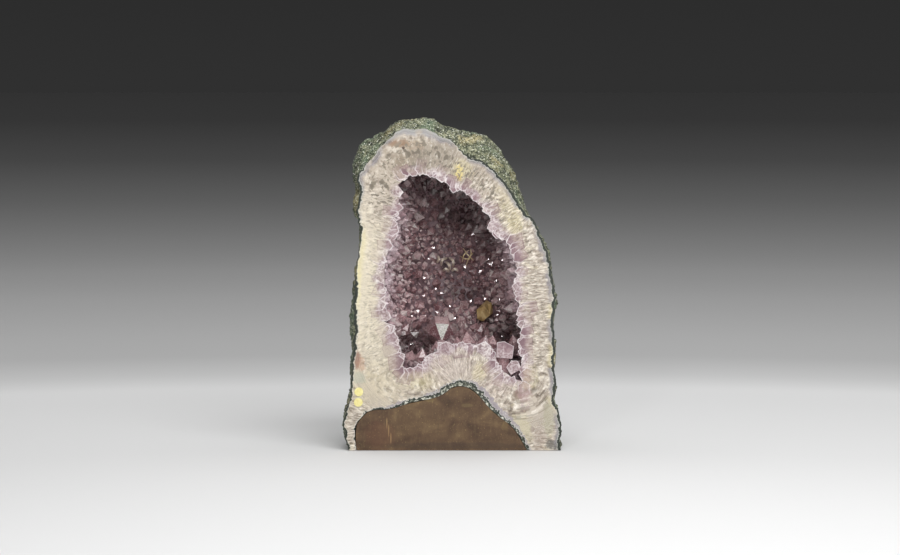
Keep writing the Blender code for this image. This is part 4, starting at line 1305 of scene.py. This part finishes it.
def dot_paper():
    """Uncoated yellow label paper, a little faded, matt."""
    material, tree, shader = new_material("pale yellow label paper")
    place = add(tree, "TexCoord").outputs["Object"]
    colour = add(
        tree, "ValToRGB", {"Fac": grain(tree, place, 2.5, 3)}, ((0.3, "#e3d68a"), (0.7, "#efe6a6")),
    ).outputs["Color"]
    feed(shader, {"Base Color": colour, "Roughness": 0.7})
    return material


DOT_PAPER = dot_paper()
for node, finish in (
    ("calcite_crystal", calcite()), ("base_fill", brown_cement()),
    ("paper_dot_upper", DOT_PAPER), ("paper_dot_lower", DOT_PAPER),
):
    solid = frame["nodes"][node]
    solid.data.materials.clear()
    solid.data.materials.append(finish)
    print(node, "wears", finish.name)

# %% [markdown]
# The sawn feet of the shell stand on the table. Nobody sees them unless the geode is lifted, but the
# quartz and the green skin show there too, so the solid's own flat underside is dressed with both.

# %% The sawn feet
def make_feet():
    """The triangles of the shell's underside as a sheet of their own, with the face's finish."""
    mesh = frame["nodes"]["quartz_shell"].data
    spots = read(mesh.vertices, "co", 3).astype(float)
    faces = read(mesh.polygons, "vertices", 3, np.int32)
    down = (spots[faces][..., 2] < 0.02 * MM).all(axis=1)
    points, groups, _ = used_only(spots, faces[down])
    feet = new_piece("sawn_feet", points, groups, [SAWN])
    wear(feet, np.stack([points[:, 0], np.full(len(points), 2 * MM)], axis=1), np.zeros(len(points)))


make_feet()

# %% [markdown]
# ## Floor, light and camera
# A wide round floor is pale round the geode and fades to dark grey far away, where it meets a dark horizon.
# A photographer would hang a paper sweep, but a wall would hide the geode from behind. One soft light hangs
# above and before it, a weaker one fills from the right, a small bright one makes the crystals glint, and
# a wide one overhead lights the floor behind. The camera has a long lens and looks down by a few degrees.

# %% The studio
FLOOR_RADIUS, FLOOR_MIDDLE, FLOOR_FADE = 60, -1.0, 3.0  # FLOOR_MIDDLE is the y round which it fades
FLOOR_RINGS, FLOOR_COLUMNS = 40, 96
GEODE_MIDDLE = (0, 0, 0.15)


def studio_floor():
    """Painted floor: pale, and darker with the distance r from its middle, by r / (r + FLOOR_FADE). The
    darkening is painted shade, as if the studio light fell off far from the lamps.
    """
    material, tree, shader = new_material("painted studio floor")
    place = add(tree, "TexCoord").outputs["Object"]
    middle = add(tree, "Mapping", {"Vector": place, "Location": (0, -FLOOR_MIDDLE, 0)}).outputs[0]
    far = Signal(add(tree, "VectorMath", {0: middle}, operation="LENGTH").outputs["Value"])
    colour = add(
        tree, "ValToRGB", {"Fac": far / (far + FLOOR_FADE)},
        ((0.24, "#e0e0e0"), (0.31, "#e9e9e9"), (0.33, "#eeeeee"), (0.35, "#dddddd"), (0.38, "#cfcfcf"),
         (0.412, "#d6d6d6"), (0.48, "#e0e0e0"), (0.53, "#dedede"), (0.595, "#c9c9c9"), (0.677, "#a2a2a2"),
         (0.771, "#727272"), (0.875, "#484848"), (0.96, "#3a3a3a")),
    ).outputs["Color"]
    feed(shader, {"Base Color": colour, "Roughness": 0.9})
    return material


def make_floor():
    """A disc of rings round the origin, whose radii grow with the square of their number."""
    turn = np.linspace(0, 2 * math.pi, FLOOR_COLUMNS, endpoint=False)[None, :]
    radius = (FLOOR_RADIUS * np.linspace(0.02, 1, FLOOR_RINGS) ** 2)[:, None]
    rings = np.stack(np.broadcast_arrays(radius * np.sin(turn), radius * np.cos(turn), -0.3 * MM), axis=-1)
    faces = [*grid_faces(FLOOR_RINGS, FLOOR_COLUMNS, True).tolist(), list(range(FLOOR_COLUMNS))]
    mesh = bpy.data.meshes.new("floor")
    mesh.from_pydata(rings.reshape(-1, 3).tolist(), [], faces)
    mesh.materials.append(studio_floor())
    floor = bpy.data.objects.new("floor", mesh)
    bpy.context.scene.collection.objects.link(floor)
    floor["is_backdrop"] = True


def soft_light(name, place, aim, size, watts):
    """An area light that looks at a point."""
    lamp = bpy.data.lights.new(name, "AREA")
    lamp.shape = "RECTANGLE"
    lamp.size, lamp.size_y = size
    lamp.energy = watts
    light = bpy.data.objects.new(name, lamp)
    light.location = place
    light.rotation_euler = (Vector(aim) - Vector(place)).to_track_quat("-Z", "Y").to_euler()
    bpy.context.scene.collection.objects.link(light)


make_floor()
soft_light("key", KEY_AT, GEODE_MIDDLE, (1.0, 0.8), 13)
soft_light("fill", FILL_AT, GEODE_MIDDLE, (0.8, 1.0), 9)
soft_light("sparkle", SPARKLE_AT, GEODE_MIDDLE, (0.12, 0.12), 3)
soft_light("top", TOP_AT, (0, 0.45, 0), (2.4, 0.9), 8)
world = bpy.data.worlds.new("studio air")
world.use_nodes = True
air = world.node_tree
heights = add(air, "SeparateXYZ", {0: add(air, "TexCoord").outputs["Generated"]}).outputs["Z"]
sky = add(
    air, "ValToRGB", {"Fac": heights},
    ((0.0, "#303030"), (0.05, "#2a2a2a"), (0.16, "#808080"), (0.4, "#8b8b8b")),
).outputs["Color"]
air.links.new(sky, air.nodes["Background"].inputs["Color"])
bpy.context.scene.world = world
bpy.context.scene.view_settings.view_transform = "Standard"

# %% The camera
PHOTO_WIDTH = 900
SENSOR = 36
camera_data = bpy.data.cameras.new("camera")
camera_data.sensor_width = SENSOR
camera_data.lens = SENSOR * CAMERA_FAR / (PHOTO_WIDTH * PIXEL)
camera = bpy.data.objects.new("camera", camera_data)
camera.location = CAMERA_AT
camera.rotation_euler = (math.pi / 2 - CAMERA_DOWN, 0, 0)
bpy.context.scene.collection.objects.link(camera)
bpy.context.scene.camera = camera
print("lens", round(camera_data.lens, 1), "mm")

# %% Sizes and the end
SHOWN_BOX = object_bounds()
boxes = {"cad": [list(corner) for corner in CAD_BOX], "visual": [list(corner) for corner in SHOWN_BOX]}
for name, corners in boxes.items():
    print(name, "box in mm", [[round(value / MM, 1) for value in corner] for corner in corners])
